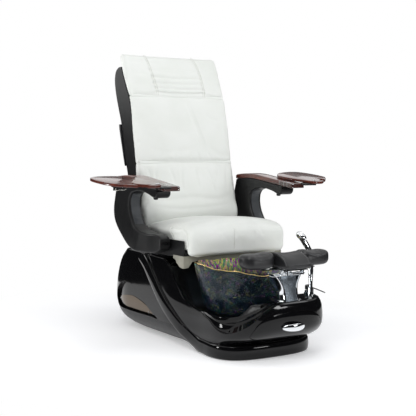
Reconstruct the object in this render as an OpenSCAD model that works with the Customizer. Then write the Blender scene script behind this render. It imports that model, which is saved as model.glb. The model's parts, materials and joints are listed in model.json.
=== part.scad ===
// Pedicure spa chair: a reclining massage seat that slides on a moulded tub base.
// Millimetres. +X is the sitter's left side seen from the front, -Y is the front, +Z is up.
// The origin lies on the floor, in the plane of symmetry, under the front of the seat.

/* [Base] */
// Height of the rear pod's roof
pod_top = 440; // [430:1:446]
// Height of the front deck
deck_top = 285; // [278:1:292]
// Largest half width of the rear pod
pod_half_w = 297; // [290:1:304]
// Half width of the front body
prow_half_w = 275; // [268:1:282]
// Distance from the origin to the rear end
rear_reach = 580; // [560:1:600]
// Distance from the origin to the nose of the front body
nose_reach = 860; // [850:1:875]
// Wall of the moulded shells
shell_wall = 8; // [6:1:10]
// Height of the joint between the rear pod and its skirt
skirt_top = 105; // [100:1:112]
// Half width of the raised sweeping band
band_half_w = 35.5; // [33:0.5:38]
// How far the band stands proud of the shell
band_proud = 14; // [10:1:18]
// Depth of the side recess behind the mirror plate
recess_depth = 22; // [18:1:26]

/* [Bowl] */
// Half width of the bowl's rim
bowl_rim_x = 258; // [250:1:262]
// Half length of the bowl's rim
bowl_rim_y = 222; // [214:1:228]
// Height of the rim above the floor at its back
bowl_rim_z = 434; // [426:1:436]
// Height of the liner's floor, on which the bowl stands
liner_floor = 176; // [172:1:182]
// Glass thickness of the bowl
bowl_wall = 8; // [6:1:10]
// Distance from the origin to the bowl's centre
bowl_reach = 450; // [440:1:456]

/* [Footrest] */
// Half of the footrest's overall width
footrest_half_w = 245; // [236:1:256]
// Width of the middle pad
saddle_w = 146; // [130:1:160]
// Height of the pads' upper edge
footrest_top = 524; // [516:1:530]
// Travel of the footrest along its leaning column
footrest_travel = 50; // [20:5:60]
// Width of the chrome column at its foot
column_w = 92; // [86:2:100]

/* [Seat] */
// Half width of the seat cushion
seat_half_w = 288; // [280:1:290]
// Height of the seat's crown
seat_top = 640; // [630:1:646]
// Distance from the origin to the seat's front
seat_reach = 420; // [412:1:426]
// Length of the fixed slide rails
rail_length = 400; // [390:5:405]
// Distance of the slide rails from the middle
rail_x = 150; // [140:1:160]

/* [Back] */
// Half width of the back cushions
back_half_w = 303; // [296:1:308]
// Height of the back's top edge
back_top = 1505; // [1490:1:1515]
// Radius of the recline pins
pin_r = 8; // [6:0.5:10]
// Running clearance of pins in their holes
pin_clear = 0.08; // [0.05:0.01:0.1]
// Distance of the massage rails from the middle
massage_rail_x = 90; // [80:1:100]
// Radius of a massage roller
roller_r = 24; // [18:1:26]

/* [Arms] */
// Distance from the middle to an arm's outer face
arm_outer = 415; // [410:1:420]
// Thickness of an arm
arm_w = 80; // [72:1:84]
// Height of the wooden cap on an arm
cap_h = 24; // [20:1:28]
// Thickness of a tray board
tray_t = 14; // [12:1:18]
// How far the left tray is turned in at rest, degrees
tray_turn_left = 0; // [0:1:30]
// How far the right tray is turned in at rest, degrees
tray_turn_right = 25; // [0:1:45]

/* [Hidden] */
$fn = 32;
// A length past every face that a cut starts or ends on
past = 1;
// Gap kept between soft pieces and what moves past them
soft_gap = 0.6;
// Gap between rigid pieces that slide on each other
slide_gap = 0.5;
big = 2000;

function lerp(a, b, t) = a + (b - a) * t;
function clamp(v, lo, hi) = min(hi, max(lo, v));
function ease(t) = let (u = clamp(t, 0, 1)) u * u * (3 - 2 * u);
function spow(v, e) = sign(v) * pow(abs(v), e);

// Smooth curve through [key, value] pairs in rising order of key
function slope(p, i) = let (a = max(0, i - 1), b = min(len(p) - 1, i + 1))
    (p[b][1] - p[a][1]) / (p[b][0] - p[a][0]);
function span(p, k) = max(0, max([for (i = [0:len(p) - 2]) p[i][0] <= k ? i : 0]));
function curve(p, key) =
    let (k = clamp(key, p[0][0], p[len(p) - 1][0]), i = min(span(p, k), len(p) - 2))
    let (w = p[i + 1][0] - p[i][0], t = (k - p[i][0]) / w)
    (2 * t ^ 3 - 3 * t ^ 2 + 1) * p[i][1] + (t ^ 3 - 2 * t ^ 2 + t) * w * slope(p, i)
    + (3 * t ^ 2 - 2 * t ^ 3) * p[i + 1][1] + (t ^ 3 - t ^ 2) * w * slope(p, i + 1);

// Closed rounded outline through the given points, with steps points a side
function blend4(a, b, c, d, t) = 0.5 * ((2 * b) + (c - a) * t
    + (2 * a - 5 * b + 4 * c - d) * t ^ 2 + (3 * b - a - 3 * c + d) * t ^ 3);
function closed_curve(p, steps) = let (n = len(p))
    [for (i = [0:n - 1], s = [0:steps - 1])
        blend4(p[(i + n - 1) % n], p[i], p[(i + 1) % n], p[(i + 2) % n], s / steps)];

// Rounded rectangle in two directions, hw wide each side, from lo to hi, crowned at the hi side
function pad_ring(hw, lo, hi, r_lo, r_hi, crown) = concat(
    [for (i = [0:3]) let (a = 180 + 30 * i) [r_lo - hw + r_lo * cos(a), lo + r_lo + r_lo * sin(a)]],
    [for (i = [0:3]) let (a = 270 + 30 * i) [hw - r_lo + r_lo * cos(a), lo + r_lo + r_lo * sin(a)]],
    [for (i = [0:3]) let (a = 30 * i) [hw - r_hi + r_hi * cos(a), hi - r_hi + r_hi * sin(a)]],
    [for (i = [1:5]) let (u = 1 - i / 3)
        [u * (hw - r_hi), hi + crown * (1 - u * u)]],
    [for (i = [0:3]) let (a = 90 + 30 * i) [r_hi - hw + r_hi * cos(a), hi - r_hi + r_hi * sin(a)]]);

// Closed solid through rings of points that run anticlockwise seen against the stacking direction
module skin(rings) {
    n = len(rings[0]);
    m = len(rings);
    sides = [for (i = [0:m - 2], j = [0:n - 1]) let (a = i * n + j, b = i * n + (j + 1) % n)
        each [[a, a + n, b], [b, a + n, b + n]]];
    ends = [[for (j = [0:n - 1]) j], [for (j = [n - 1:-1:0]) (m - 1) * n + j]];
    polyhedron([for (r = rings) each r], concat(sides, ends), convexity = 8);
}

// Extrudes a (Y, Z) outline along X between two planes
module side_plate(x0, x1, outline) {
    translate([x1, 0, 0])
        rotate([90, 0, -90])
            linear_extrude(x1 - x0)
                polygon([for (p = outline) [-p[0], p[1]]]);
}

module box(lo, hi) {
    translate(lo) cube(hi - lo);
}

module rod(from, to, r) {
    d = to - from;
    l = norm(d);
    translate(from) rotate([0, acos(d[2] / l), atan2(d[1], d[0])]) cylinder(r = r, h = l);
}

module bar_x(x0, x1, y, z, r) {
    translate([x0, y, z]) rotate([0, 90, 0]) cylinder(r = r, h = x1 - x0);
}

module both_sides() {
    children();
    mirror([1, 0, 0]) children();
}

// ---------------------------------------------------------------- base shells
// Plan of the base: straight sides between rear_start and front_start, rounded ends beyond them
rear_start = 250;
front_start = -520;
rear_power = 2.5;
front_power = 3.4;
// Heights against the reach of both ends and against the half width
rear_y = [[0, rear_reach - 130], [50, rear_reach - 58], [skirt_top, rear_reach - 18],
    [170, rear_reach], [250, rear_reach - 14], [324, rear_reach - 52],
    [390, rear_reach - 112], [pod_top, rear_reach - 195]];
rear_w = [[0, pod_half_w - 125], [30, pod_half_w - 70], [62, pod_half_w - 32],
    [skirt_top, pod_half_w - 9], [170, pod_half_w], [300, pod_half_w - 1],
    [390, pod_half_w - 7], [pod_top, pod_half_w - 20]];
nose_y = [[0, nose_reach - 168], [70, nose_reach - 158], [110, nose_reach - 60],
    [150, nose_reach - 12], [190, nose_reach - 1], [235, nose_reach - 1], [262, nose_reach - 3],
    [deck_top, nose_reach - 8]];
prow_w = [[0, prow_half_w - 14], [70, prow_half_w - 12], [110, prow_half_w - 3],
    [170, prow_half_w], [230, prow_half_w - 4], [255, prow_half_w - 10],
    [deck_top, prow_half_w - 30]];
function half_w(y, z) = lerp(curve(prow_w, z), curve(rear_w, z), ease((y + 500) / 350));

// Point of the shell at station s: 0 to 1 runs along the straight side towards the rear,
// 1 to 2 round the rear end and 0 to -1 round the nose, both up to the middle
function along_y(s, z, inset) = s < 0
    ? front_start - (curve(nose_y, z) - inset + front_start) * spow(sin(-90 * s), 2 / front_power)
    : s > 1 ? rear_start + (curve(rear_y, z) - inset - rear_start) * spow(sin(90 * s - 90), 2 / rear_power)
    : lerp(front_start, rear_start, s);
function across(s) = s < 0 ? spow(cos(90 * s), 2 / front_power)
    : s > 1 ? spow(cos(90 * s - 90), 2 / rear_power) : 1;
function shell_point(side, s, z, inset) = let (y = along_y(s, z, inset))
    [side * (half_w(y, z) - inset) * across(s), y, z];
function station(y) = (y - front_start) / (rear_start - front_start);

// Height of the shell's edge along the open well
well_front = 160 - nose_reach;
well_back = -140;
lip_z = [[well_front - 60, deck_top - 3], [-700, 264], [-660, 230], [-610, 208], [-560, 200], [-490, 204],
    [-420, 217], [-349, 245], [-290, 290], [-240, 350], [-200, 404], [well_back, pod_top - shell_wall - 0.3]];

// The shells part along the middle of the sweeping band
band_mid = [[-520, 37], [-452, 44], [-328, 97], [-240, 155], [-130, 240], [-60, 305], [30, 385],
    [120, pod_top - 10]];

// Half of the gap that the shells leave between them behind the band
joint_gap = 1;

// Wall between two heights, thin all along; each station holds [side, s, low, high, extra depth, lip],
// where the lip, if there is one, is a point that the wall's upper edge sweeps in to
wall_steps = 6;
lip_t = 5;
function wall_ring(w) = let (swept = is_list(w[5]), top = swept ? w[3] - 4 : w[3]) concat(
    [for (j = [0:wall_steps]) shell_point(w[0], w[1], lerp(w[2], w[3], j / wall_steps), 0)],
    swept ? [w[5], w[5] - [0, 0, lip_t]]
        : [shell_point(w[0], w[1], w[3], shell_wall * 0.4), shell_point(w[0], w[1], w[3], shell_wall * 0.6)],
    [for (j = [wall_steps:-1:0]) let (z = lerp(w[2], top, j / wall_steps))
        shell_point(w[0], w[1], z, shell_wall + w[4] * pocket(along_y(w[1], z, 0), z))]);
// Depth of the wall where the side pocket needs room, from 0 to 1
function pocket(y, z) = ease((y + 150) / 40) * ease((520 - y) / 40) * ease((310 - z) / 30);
function turned(first, half, other) = concat(
    [for (w = half) concat([first], w)],
    [for (i = [len(other) - 2:-1:0]) concat([-first], other[i])]);

pod_stations = [for (s = concat([for (i = [0:14]) station(lerp(-300, rear_start, i / 14))],
        [for (i = [1:12]) 1 + i / 12]))
    let (y = along_y(s, skirt_top, 0))
    [s, skirt_top, y < 120 ? max(curve(band_mid, y) - joint_gap, skirt_top + 8) : pod_top - 0.5, recess_depth]];
skirt_stations = [for (s = concat([for (i = [0:14]) station(lerp(-440, rear_start, i / 14))],
        [for (i = [1:12]) 1 + i / 12]))
    let (y = along_y(s, skirt_top, 0)) [s, 0, min(skirt_top - 0.3, curve(band_mid, y) - joint_gap), 0]];
// Shoulder on one side of the nose, where the shell sweeps in over the well, keyed by station:
// height of the wall's edge, and the lip's X, Y and Z
sweep_start = station(-490);
swept_edge = [[-1, deck_top - 3], [-0.93, 280], [-0.88, 268], [-0.8, 250], [-0.69, 222], [-0.58, 190],
    [-0.46, 165], [-0.34, 145], [-0.22, 133], [-0.12, 140], [-0.05, 160], [0, 192], [sweep_start, 208]];
swept_lip = [[-0.88, -58, -760, 269], [-0.8, -68, -752, 260], [-0.69, -90, -745, 249],
    [-0.58, -120, -735, 236], [-0.46, -155, -720, 221], [-0.34, -190, -700, 210], [-0.22, -222, -670, 203],
    [-0.12, -247, -630, 201], [-0.05, -258, -580, 203], [0, -262, -530, 207], [sweep_start, -265, -490, 211]];
function lip_at(s) = [for (k = [1:3]) curve([for (p = swept_lip) [p[0], p[k]]], s)];
function front_stations(side) = [for (s = concat([for (i = [0:20]) station(lerp(100, front_start, i / 20))],
        [for (i = [1:14]) -i / 14]))
    let (y = along_y(s, 250, 0), split = curve(band_mid, y) + joint_gap, swept = side < 0 && s < sweep_start)
    [s, y < -452 ? max(0, split * (y + 500) / 48) : split,
     max(swept ? curve(swept_edge, s) : curve(lip_z, y), split + 6), 0, swept && s > -0.9 ? lip_at(s) : 0]];

// Pocket in the pod's side, given by its lower and upper edge along Y
pocket_low = [[-80, 107], [-20, 110], [70, 108], [250, 108], [390, 110], [440, 122]];
pocket_high = [[-80, 116], [0, 152], [100, 215], [200, 258], [260, 268], [320, 256], [400, 206], [440, 150]];
plate_low = [[-40, 118], [60, 115], [150, 113], [292, 120], [400, 150]];
plate_high = [[-40, 127], [89, 168], [180, 187], [228, 190], [328, 179], [400, 160]];
function side_x(y, z, inset) = (half_w(y, z) - inset) * (y <= rear_start ? 1
    : pow(1 - pow((y - rear_start) / (curve(rear_y, z) - inset - rear_start), rear_power), 1 / rear_power));
// Solid between two depths under the shell's side, within an outline of low and high edges
module side_slab(side, low, high, from, to, steps) {
    y0 = low[0][0];
    y1 = low[len(low) - 1][0];
    mirror([side < 0 ? 1 : 0, 0, 0])
        skin([for (i = [0:steps]) let (y = lerp(y0, y1, i / steps), a = curve(low, y), b = curve(high, y))
            concat([for (j = [0:4]) let (z = lerp(a, b, j / 4)) [side_x(y, z, to), y, z]],
                [for (j = [4:-1:0]) let (z = lerp(a, b, j / 4)) [side_x(y, z, from), y, z]])]);
}

// Roof plate inside the pod's walls
roof_edge = 3;
module pod_roof() {
    outline = [for (s = concat([for (i = [0:4]) station(lerp(well_back, rear_start, i / 4))],
        [for (i = [1:12]) 1 + i / 12])) shell_point(1, s, pod_top, roof_edge)];
    translate([0, 0, pod_top - shell_wall])
        linear_extrude(shell_wall)
            polygon(concat([for (p = outline) [p[0], p[1]]],
                [for (i = [len(outline) - 2:-1:0]) [-outline[i][0], outline[i][1]]]));
}

// Rear half of the gloss moulding, with a pocket in each side
module base_pod() {
    color("#141416") {
        difference() {
            skin([for (w = turned(-1, pod_stations, pod_stations)) wall_ring(w)]);
            for (side = [-1, 1])
                side_slab(side, pocket_low, pocket_high, -20, recess_depth, 16);
        }
        pod_roof();
    }
}

// Satin skirt that tucks in under the pod down to the floor
module rear_skirt() {
    color("#2b2b2d") skin([for (w = turned(-1, skirt_stations, skirt_stations)) wall_ring(w)]);
}

// Hatch opening in the nose
hatch_w = 396;
hatch_gap = 0.5;
hatch_t = 5;
hatch_low = [[-hatch_w / 2, 128], [-170, 110], [-130, 101], [-60, 98], [60, 98], [130, 101], [170, 110],
    [hatch_w / 2, 128]];
hatch_high = [[-hatch_w / 2, 150], [-180, 190], [-140, 218], [-80, 234], [0, 238], [80, 234], [140, 218],
    [180, 190], [hatch_w / 2, 150]];
hatch_steps = 24;
function hatch_edge(line, grow) = [for (i = [0:hatch_steps])
    let (x = lerp(-hatch_w / 2, hatch_w / 2, i / hatch_steps)) [x * (1 + 2 * grow / hatch_w), curve(line, x)]];
function nose_surface(x, z, inset) = front_start - (curve(nose_y, z) - inset + front_start)
    * pow(1 - pow(abs(x) / (curve(prow_w, z) - inset), front_power), 1 / front_power);

// Gloss front body, its wall sweeping in over the well on one side
module front_body() {
    color("#141416") difference() {
        skin([for (w = turned(1, front_stations(1), front_stations(-1))) wall_ring(w)]);
        translate([0, well_front, 0])
            rotate([90, 0, 0])
                linear_extrude(300)
                    polygon(concat(hatch_edge(hatch_low, 0), [for (i = [hatch_steps:-1:0])
                        hatch_edge(hatch_high, 0)[i]]));
    }
}

// Deck that carries the footrest, the mixer and the hand shower, pressed in between the walls
deck_bite = 1.5;
module deck_panel() {
    inset = shell_wall - deck_bite;
    low = deck_top - shell_wall / 2;
    outline = [for (i = [3:14]) shell_point(1, -i / 14, low, inset)];
    color("#141416") difference() {
        translate([0, 0, deck_top - shell_wall])
            linear_extrude(shell_wall)
                polygon(concat([for (p = outline) [p[0], p[1]]],
                    [for (s = [-0.96, -0.9]) let (p = shell_point(-1, s, low, inset)) [p[0], p[1]]],
                    [[-64, -775], [-50, -748], [0, outline[0][1]]]));
        translate([mixer_x, mixer_y, deck_top - 60]) cylinder(r = inlet_r + pin_clear, h = 80);
        translate([shower_x, shower_y, deck_top - 60]) cylinder(r = inlet_r + pin_clear, h = 80);
    }
}

// Access panel that pulls straight off the nose
module hatch_panel() {
    low = hatch_edge(hatch_low, -hatch_gap);
    high = hatch_edge(hatch_high, -hatch_gap);
    color("#18181a") skin([for (i = [hatch_steps:-1:0]) let (x = low[i][0], a = low[i][1] + hatch_gap,
            b = high[i][1] - hatch_gap)
        concat([for (j = [0:8]) let (z = lerp(a, b, j / 8)) [x, nose_surface(x, z, 0), z]],
            [for (j = [8:-1:0]) let (z = lerp(a, b, j / 8)) [x, nose_surface(x, z, hatch_t), z]])]);
}

handle_z = 168;
handle_span = 128;
// Oval bow handle on the hatch, standing on two posts
module hatch_handle() {
    color("#d8dadd") {
        difference() {
            intersection() {
                translate([0, -nose_reach - 2, handle_z]) rotate([90, 0, 0])
                    linear_extrude(26) polygon([for (i = [0:23]) let (a = 15 * i)
                        [handle_span / 2 * spow(cos(a), 0.9), 17 * spow(sin(a), 0.9)]]);
                translate([0, -nose_reach + 150, handle_z - 40]) cylinder(r = 176, h = 80, $fn = 96);
            }
            translate([0, -nose_reach + 152, handle_z - 40]) cylinder(r = 168, h = 80, $fn = 96);
        }
        for (s = [-1, 1])
            translate([s * 46, -nose_reach + 10, handle_z]) rotate([90, 0, 0]) cylinder(r = 6, h = 20);
    }
}

// ---------------------------------------------------------------- sweeping band and bumper
bumper_nose = 716;
function band_side(i) = let (y = lerp(110, front_start, i / 16), z = curve(band_mid, y))
    [-half_w(y, z) + 2, y, max(z, band_half_w)];
function band_front(i) = let (a = 180 + 180 * i / 20,
    y = front_start + (bumper_nose + front_start) * spow(sin(a), 2 / 3.1))
    [half_w(front_start, band_half_w) * spow(cos(a), 2 / 3.1), y, band_half_w];
band_path = concat([for (i = [0:16]) band_side(i)], [for (i = [1:19]) band_front(i)],
    [for (i = [16:-1:0]) let (p = band_side(i)) [-p[0], p[1], p[2]]]);
function unit(v) = v / norm(v);
function band_normal(p) = p[1] > front_start + past ? [sign(p[0]), 0, 0]
    : unit([p[0] / half_w(front_start, band_half_w) ^ 2 * 1.0,
        (p[1] - front_start) / (bumper_nose + front_start) ^ 2, 0]);
band_section = [[-1, -10], [-1, 5], [-0.72, band_proud - 2], [0, band_proud + 2],
    [0.72, band_proud - 2], [1, 5], [1, -10]];
function band_ring(i) =
    let (n = len(band_path), a = band_path[max(0, i - 1)], b = band_path[min(n - 1, i + 1)])
    let (p = band_path[i], out = band_normal(p), along = unit(b - a))
    let (wide = unit(cross(out, along)))
    [for (s = band_section) p + wide * s[0] * band_half_w + out * s[1]];

module sweep_rim() {
    color("#101012") intersection() {
        skin([for (i = [len(band_path) - 1:-1:0]) band_ring(i)]);
        box([-big, -big, 0], [big, big, pod_top]);
    }
}

// ---------------------------------------------------------------- liner of the well
liner_t = 6;
liner_mid = [[well_front + 2, 258], [-680, 222], [-650, liner_floor + 10], [-bowl_reach - 140, liner_floor],
    [140 - bowl_reach, liner_floor], [185 - bowl_reach, 200], [222 - bowl_reach, 300], [250 - bowl_reach, 392]];
liner_steps_y = 15;
liner_steps_x = 14;
liner_side = [[-740, 92, 240], [-725, 128, 226], [-700, 176, 206], [-670, 212, 196], [-630, 238, 195],
    [-580, 250, 197], [-520, 255, 202], [-460, 256, 207], [-420, 256.5, 212]];
function swept(u, y) = u < 0 && y < -420;
function liner_wall(y, z, inset) = (half_w(y, z) - inset) * (y >= front_start ? 1
    : pow(1 - pow((front_start - y) / (curve(nose_y, z) - inset + front_start), front_power), 1 / front_power));
function liner_edge(u, y) = swept(u, y) ? curve([for (p = liner_side) [p[0], p[1]]], y)
    : liner_wall(y, curve(lip_z, y), shell_wall + 1);
function liner_rim(u, y) = swept(u, y) ? curve([for (p = liner_side) [p[0], p[2]]], y) : curve(lip_z, y) - 5;
function liner_z(u, y) = let (w = liner_edge(u, y), d = min(170, w - 60))
    lerp(curve(liner_mid, y), liner_rim(u, y), ease((abs(u) * w - d) / (w - d)));
function liner_front(u) = lerp(well_front - 38, well_front + 4, clamp((u + 1) / 0.9, 0, 1));
function liner_point(i, j, drop) = let (u = 2 * i / liner_steps_x - 1,
    y = lerp(liner_front(u), -202, j / liner_steps_y)) [u * liner_edge(u, y), y, liner_z(u, y) - drop];
function liner_ring(j) = concat(
    [for (i = [0:liner_steps_x]) liner_point(i, j, liner_t)],
    [for (i = [liner_steps_x:-1:0]) liner_point(i, j, 0)]);

module well_liner() {
    color("#242426") difference() {
        skin([for (j = [liner_steps_y:-1:0]) liner_ring(j)]);
        for (p = [drain_at, jet_at])
            translate([p[0], p[1], liner_floor - 40]) cylinder(r = 34, h = 80);
    }
}

// ---------------------------------------------------------------- side plates and their screws
mirror_t = 3;
plate_gap = 0.4;
module side_mirror(side) {
    side_slab(side, plate_low, plate_high, recess_depth - plate_gap - mirror_t, recess_depth - plate_gap, 12);
}

module side_mirror_left() {
    color("#6f6350") side_mirror(-1);
}

module side_mirror_right() {
    color("#6f6350") side_mirror(1);
}

screw_spots = [[388, 155], [-14, 124], [30, 128]];
module panel_screws() {
    color("#c9ccd0") both_sides()
        for (p = screw_spots) {
            x = side_x(p[0], p[1], recess_depth - mirror_t) - 6;
            bar_x(x, x + 11, p[0], p[1], 4.5);
        }
}

// ---------------------------------------------------------------- steel chassis
plate_t = 6;
post = 36;
post_x = 138;
post_y = [-110, 318];
// Half of the square window over the waste pipe that stands up from the floor
drain_window = 44;
rail_roof = pod_top - shell_wall - 0.5;
member_y = [-bowl_reach - 110, 110 - bowl_reach];
module chassis() {
    color("#3a3d42") {
        difference() {
            box([-160, -600, 0], [160, 290, plate_t]);
            box([drain_at[0] - drain_window, drain_at[1] - drain_window, -past],
                [drain_at[0] + drain_window, drain_at[1] + drain_window, plate_t + past]);
        }
        box([-140, 290 - past, 0], [140, 360, plate_t]);
        for (s = [-1, 1]) {
            for (y = post_y)
                box([s * post_x - post / 2, y - post / 2, plate_t], [s * post_x + post / 2, y + post / 2, rail_roof - 26]);
            box([s * post_x - post / 2, post_y[0] - post / 2, rail_roof - 26],
                [s * post_x + post / 2, post_y[1] + post / 2, rail_roof]);
        }
        box([-post_x, post_y[1] - post / 2 + 3, rail_roof - 23], [post_x, post_y[1] + post / 2 - 3, rail_roof - 3]);
        for (y = member_y)
            box([-150, y - 15, plate_t], [150, y + 15, liner_floor - liner_t - 42]);
    }
}

// ---------------------------------------------------------------- bowl
bowl_mid = [0, -bowl_reach, 0];
bowl_profile = [[0, 168, 138], [22, 192, 162], [80, 212, 182], [150, 231, 199], [205, 246, 212],
    [1, bowl_rim_x, bowl_rim_y]];
bowl_steps = 40;
function rim_height(a) = bowl_rim_z - liner_floor - 44 * pow(max(0, -sin(a - 6)), 1.4)
    - 6 + 6 * cos(6 * a + 40);
function bowl_level(k, a) = k < 5 ? min(bowl_profile[k][0], rim_height(a) - 12) : rim_height(a);
function bowl_ring(k, inset, lift) = [for (i = [0:bowl_steps - 1]) let (a = 360 * i / bowl_steps)
    [(bowl_profile[k][1] - inset + (k == 5 ? 5 * cos(6 * a + 40) : 0)) * cos(a),
     (bowl_profile[k][2] - inset + (k == 5 ? 5 * cos(6 * a + 40) : 0)) * sin(a),
     bowl_level(k, a) + lift]];
drain_at = [38, -bowl_reach + 62];
jet_at = [-42, -bowl_reach - 40];
bowl_floor_t = 10;

// Hand-blown look glass bowl with a wavy rim
module bowl() {
    color("#16203a") translate([0, -bowl_reach, liner_floor + 0.2]) difference() {
        skin([for (k = [0:5]) bowl_ring(k, 0, 0)]);
        skin(concat([bowl_ring(0, bowl_wall, bowl_floor_t)],
            [for (k = [1:5]) bowl_ring(k, bowl_wall, k == 5 ? 0 : bowl_floor_t * (5 - k) / 5)],
            [[for (p = bowl_ring(5, bowl_wall, 30)) p]]));
        for (p = [drain_at, jet_at])
            translate([p[0], p[1] + bowl_reach, -past]) cylinder(r = 24, h = 40);
    }
}

// ---------------------------------------------------------------- drain
glass_top = liner_floor + 0.2 + bowl_floor_t;
stem_r = 4;
module drain_flange() {
    color("#c9ccd0") translate([drain_at[0], drain_at[1], 0]) difference() {
        union() {
            translate([0, 0, glass_top + 0.2]) cylinder(r = 33, h = 4);
            translate([0, 0, liner_floor - liner_t - 34]) cylinder(r = 23, h = glass_top - liner_floor + liner_t + 35);
        }
        translate([0, 0, liner_floor - 8]) cylinder(r = 19, h = 60);
        translate([0, 0, liner_floor - 60]) cylinder(r = 17, h = 44);
        translate([0, 0, liner_floor - 60]) cylinder(r = stem_r + pin_clear, h = 100);
        for (a = [0:90:270])
            rotate(a) translate([11, 0, liner_floor - 60]) cylinder(r = 4, h = 100);
    }
}

stopper_lift = 30;
// Pop-up stopper, shown raised on its stem
module drain_stopper() {
    color("#d8dadd") translate([drain_at[0], drain_at[1], glass_top]) {
        translate([0, 0, stopper_lift + 5]) cylinder(r = 26, h = 3);
        translate([0, 0, stopper_lift + 8]) cylinder(r1 = 26, r2 = 18, h = 4);
        translate([0, 0, stopper_lift - 14]) cylinder(r = 10, h = 19);
        translate([0, 0, -30]) cylinder(r = stem_r, h = stopper_lift + 35);
    }
}

socket_r = 16;
socket_low = plate_t + 8;
// Tail pipe under the drain, open downwards as a socket for the waste pipe
module drain_pipe() {
    pipe_length = liner_floor - liner_t - 34.2 - socket_low;
    color("#e8e8e6") translate([drain_at[0], drain_at[1], socket_low]) difference() {
        union() {
            cylinder(r = 21, h = pipe_length);
            cylinder(r = 25, h = 24);
        }
        translate([0, 0, -past]) cylinder(r = socket_r, h = pipe_length + 2 * past);
    }
}

// ---------------------------------------------------------------- water jet
jet_shaft_r = 3;
module jet_housing() {
    color("#303236") translate([jet_at[0], jet_at[1], 0]) difference() {
        union() {
            translate([0, 0, glass_top + 0.2]) cylinder(r = 33, h = 4);
            translate([0, 0, liner_floor - liner_t - 4]) cylinder(r = 23, h = glass_top - liner_floor + liner_t + 6);
        }
        translate([0, 0, liner_floor - liner_t]) cylinder(r = 20, h = 60);
    }
}

module jet_cap() {
    color("#c9ccd0") translate([jet_at[0], jet_at[1], glass_top + 4.4]) difference() {
        union() {
            cylinder(r = 34, h = 8);
            translate([0, 0, 8]) cylinder(r1 = 34, r2 = 24, h = 5);
        }
        translate([0, 0, -past]) cylinder(r = 30, h = 9);
        for (a = [0:60:300])
            rotate(a) translate([15, 0, 0]) cylinder(r = 4, h = 20);
    }
}

module jet_impeller() {
    base = liner_floor - liner_t + 0.5;
    color("#e3e6ea") translate([jet_at[0], jet_at[1], base]) {
        difference() {
            cylinder(r = 18, h = 5);
            translate([0, 0, 1]) cylinder(r = 4.5, h = 10);
        }
        for (a = [0:60:300])
            rotate(a) translate([4.6, -1, 4]) cube([12, 2, 12]);
    }
}

motor_top = liner_floor - liner_t - 4.4;
module jet_motor() {
    color("#4a4d52") translate([jet_at[0], jet_at[1], 0]) difference() {
        union() {
            translate([0, 0, motor_top - 90]) cylinder(r = 36, h = 90);
            translate([-30, -30, motor_top - 126]) cube([60, 60, 36]);
            for (s = [-1, 1])
                translate([s * 46 - 12, -20, plate_t]) cube([24, 40, motor_top - plate_t - 70]);
        }
        translate([0, 0, motor_top - 24]) cylinder(r = 30, h = 22);
        translate([0, 0, motor_top - 70]) cylinder(r = jet_shaft_r + pin_clear, h = 50);
    }
}

module motor_rotor() {
    color("#8d9196") translate([jet_at[0], jet_at[1], motor_top - 24]) {
        translate([0, 0, 4]) cylinder(r = 27, h = 14);
        translate([0, 0, -44]) cylinder(r = jet_shaft_r, h = 50);
    }
}

// ---------------------------------------------------------------- footrest
column_foot = [32 - nose_reach, deck_top];
column_head = [65 - nose_reach, 412];
column_depth = 52;
lean = unit([0, column_head[0] - column_foot[0], column_head[1] - column_foot[1]]);
head_w = 176;
slider_w = 60;
slider_t = 20;
pad_low = footrest_top - 86;
pad_mid = 70 - nose_reach;
bracket_t = 5;
rod_at = [-nose_reach - 2, pad_low - 20];
rod_r = 3.5;
function column_side(inset, low, high) = let (k = (column_head[0] - column_foot[0]) / (column_head[1] - column_foot[1]))
    [for (p = [[1, low], [1, high], [-1, high], [-1, low]])
        [column_foot[0] + k * (p[1] - deck_top) + p[0] * (column_depth / 2 - inset), p[1]]];

module column_face(inset) {
    translate([0, -big, 0]) rotate([90, 0, 0]) translate([0, 0, -2 * big])
        linear_extrude(2 * big) polygon([
            [inset - column_w / 2, deck_top - past], [column_w / 2 - inset, deck_top - past],
            [column_w / 2 - 4 - inset, deck_top + 36], [column_w / 2 - inset, deck_top + 76],
            [head_w / 2 - 8 - inset, column_head[1] - 20], [head_w / 2 - inset, column_head[1] + past],
            [inset - head_w / 2, column_head[1] + past], [inset + 8 - head_w / 2, column_head[1] - 20],
            [inset - column_w / 2, deck_top + 76], [inset + 4 - column_w / 2, deck_top + 36]]);
}

// Polished column, hollow for the slider, on a bolted foot plate
module footrest_column() {
    color("#d8dadd") {
        difference() {
            intersection() {
                side_plate(-column_w / 2, column_w / 2, column_side(0, deck_top + 0.2, column_head[1]));
                column_face(0);
            }
            side_plate(-slider_w / 2 - slide_gap, slider_w / 2 + slide_gap,
                column_side(column_depth / 2 - slider_t / 2 - slide_gap, deck_top + 10, column_head[1] + 20));
        }
        for (s = [-1, 1])
            box([s * 48 - 12, column_foot[0] - 18, deck_top + 0.2], [s * 48 + 12, column_foot[0] + 18, deck_top + 5.2]);
    }
}

// Sliding tongue with the plate that carries the three pads
module footrest_slider() {
    color("#c9ccd0") {
        side_plate(-slider_w / 2, slider_w / 2,
            column_side(column_depth / 2 - slider_t / 2, column_head[1] - 88, pad_low - bracket_t));
        box([-150, pad_mid - 34, pad_low - bracket_t - 0.3], [150, pad_mid + 34, pad_low - 0.3]);
        box([-60, pad_mid - 98, pad_low - bracket_t - 0.3], [60, pad_mid - 30, pad_low - 0.3]);
        for (x = [-46, 46])
            difference() {
                box([x - 3, rod_at[0] - 12, rod_at[1] - 8], [x + 3, rod_at[0] + 12, pad_low - bracket_t]);
                bar_x(-80, 80, rod_at[0], rod_at[1], rod_r + pin_clear);
            }
    }
}

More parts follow.
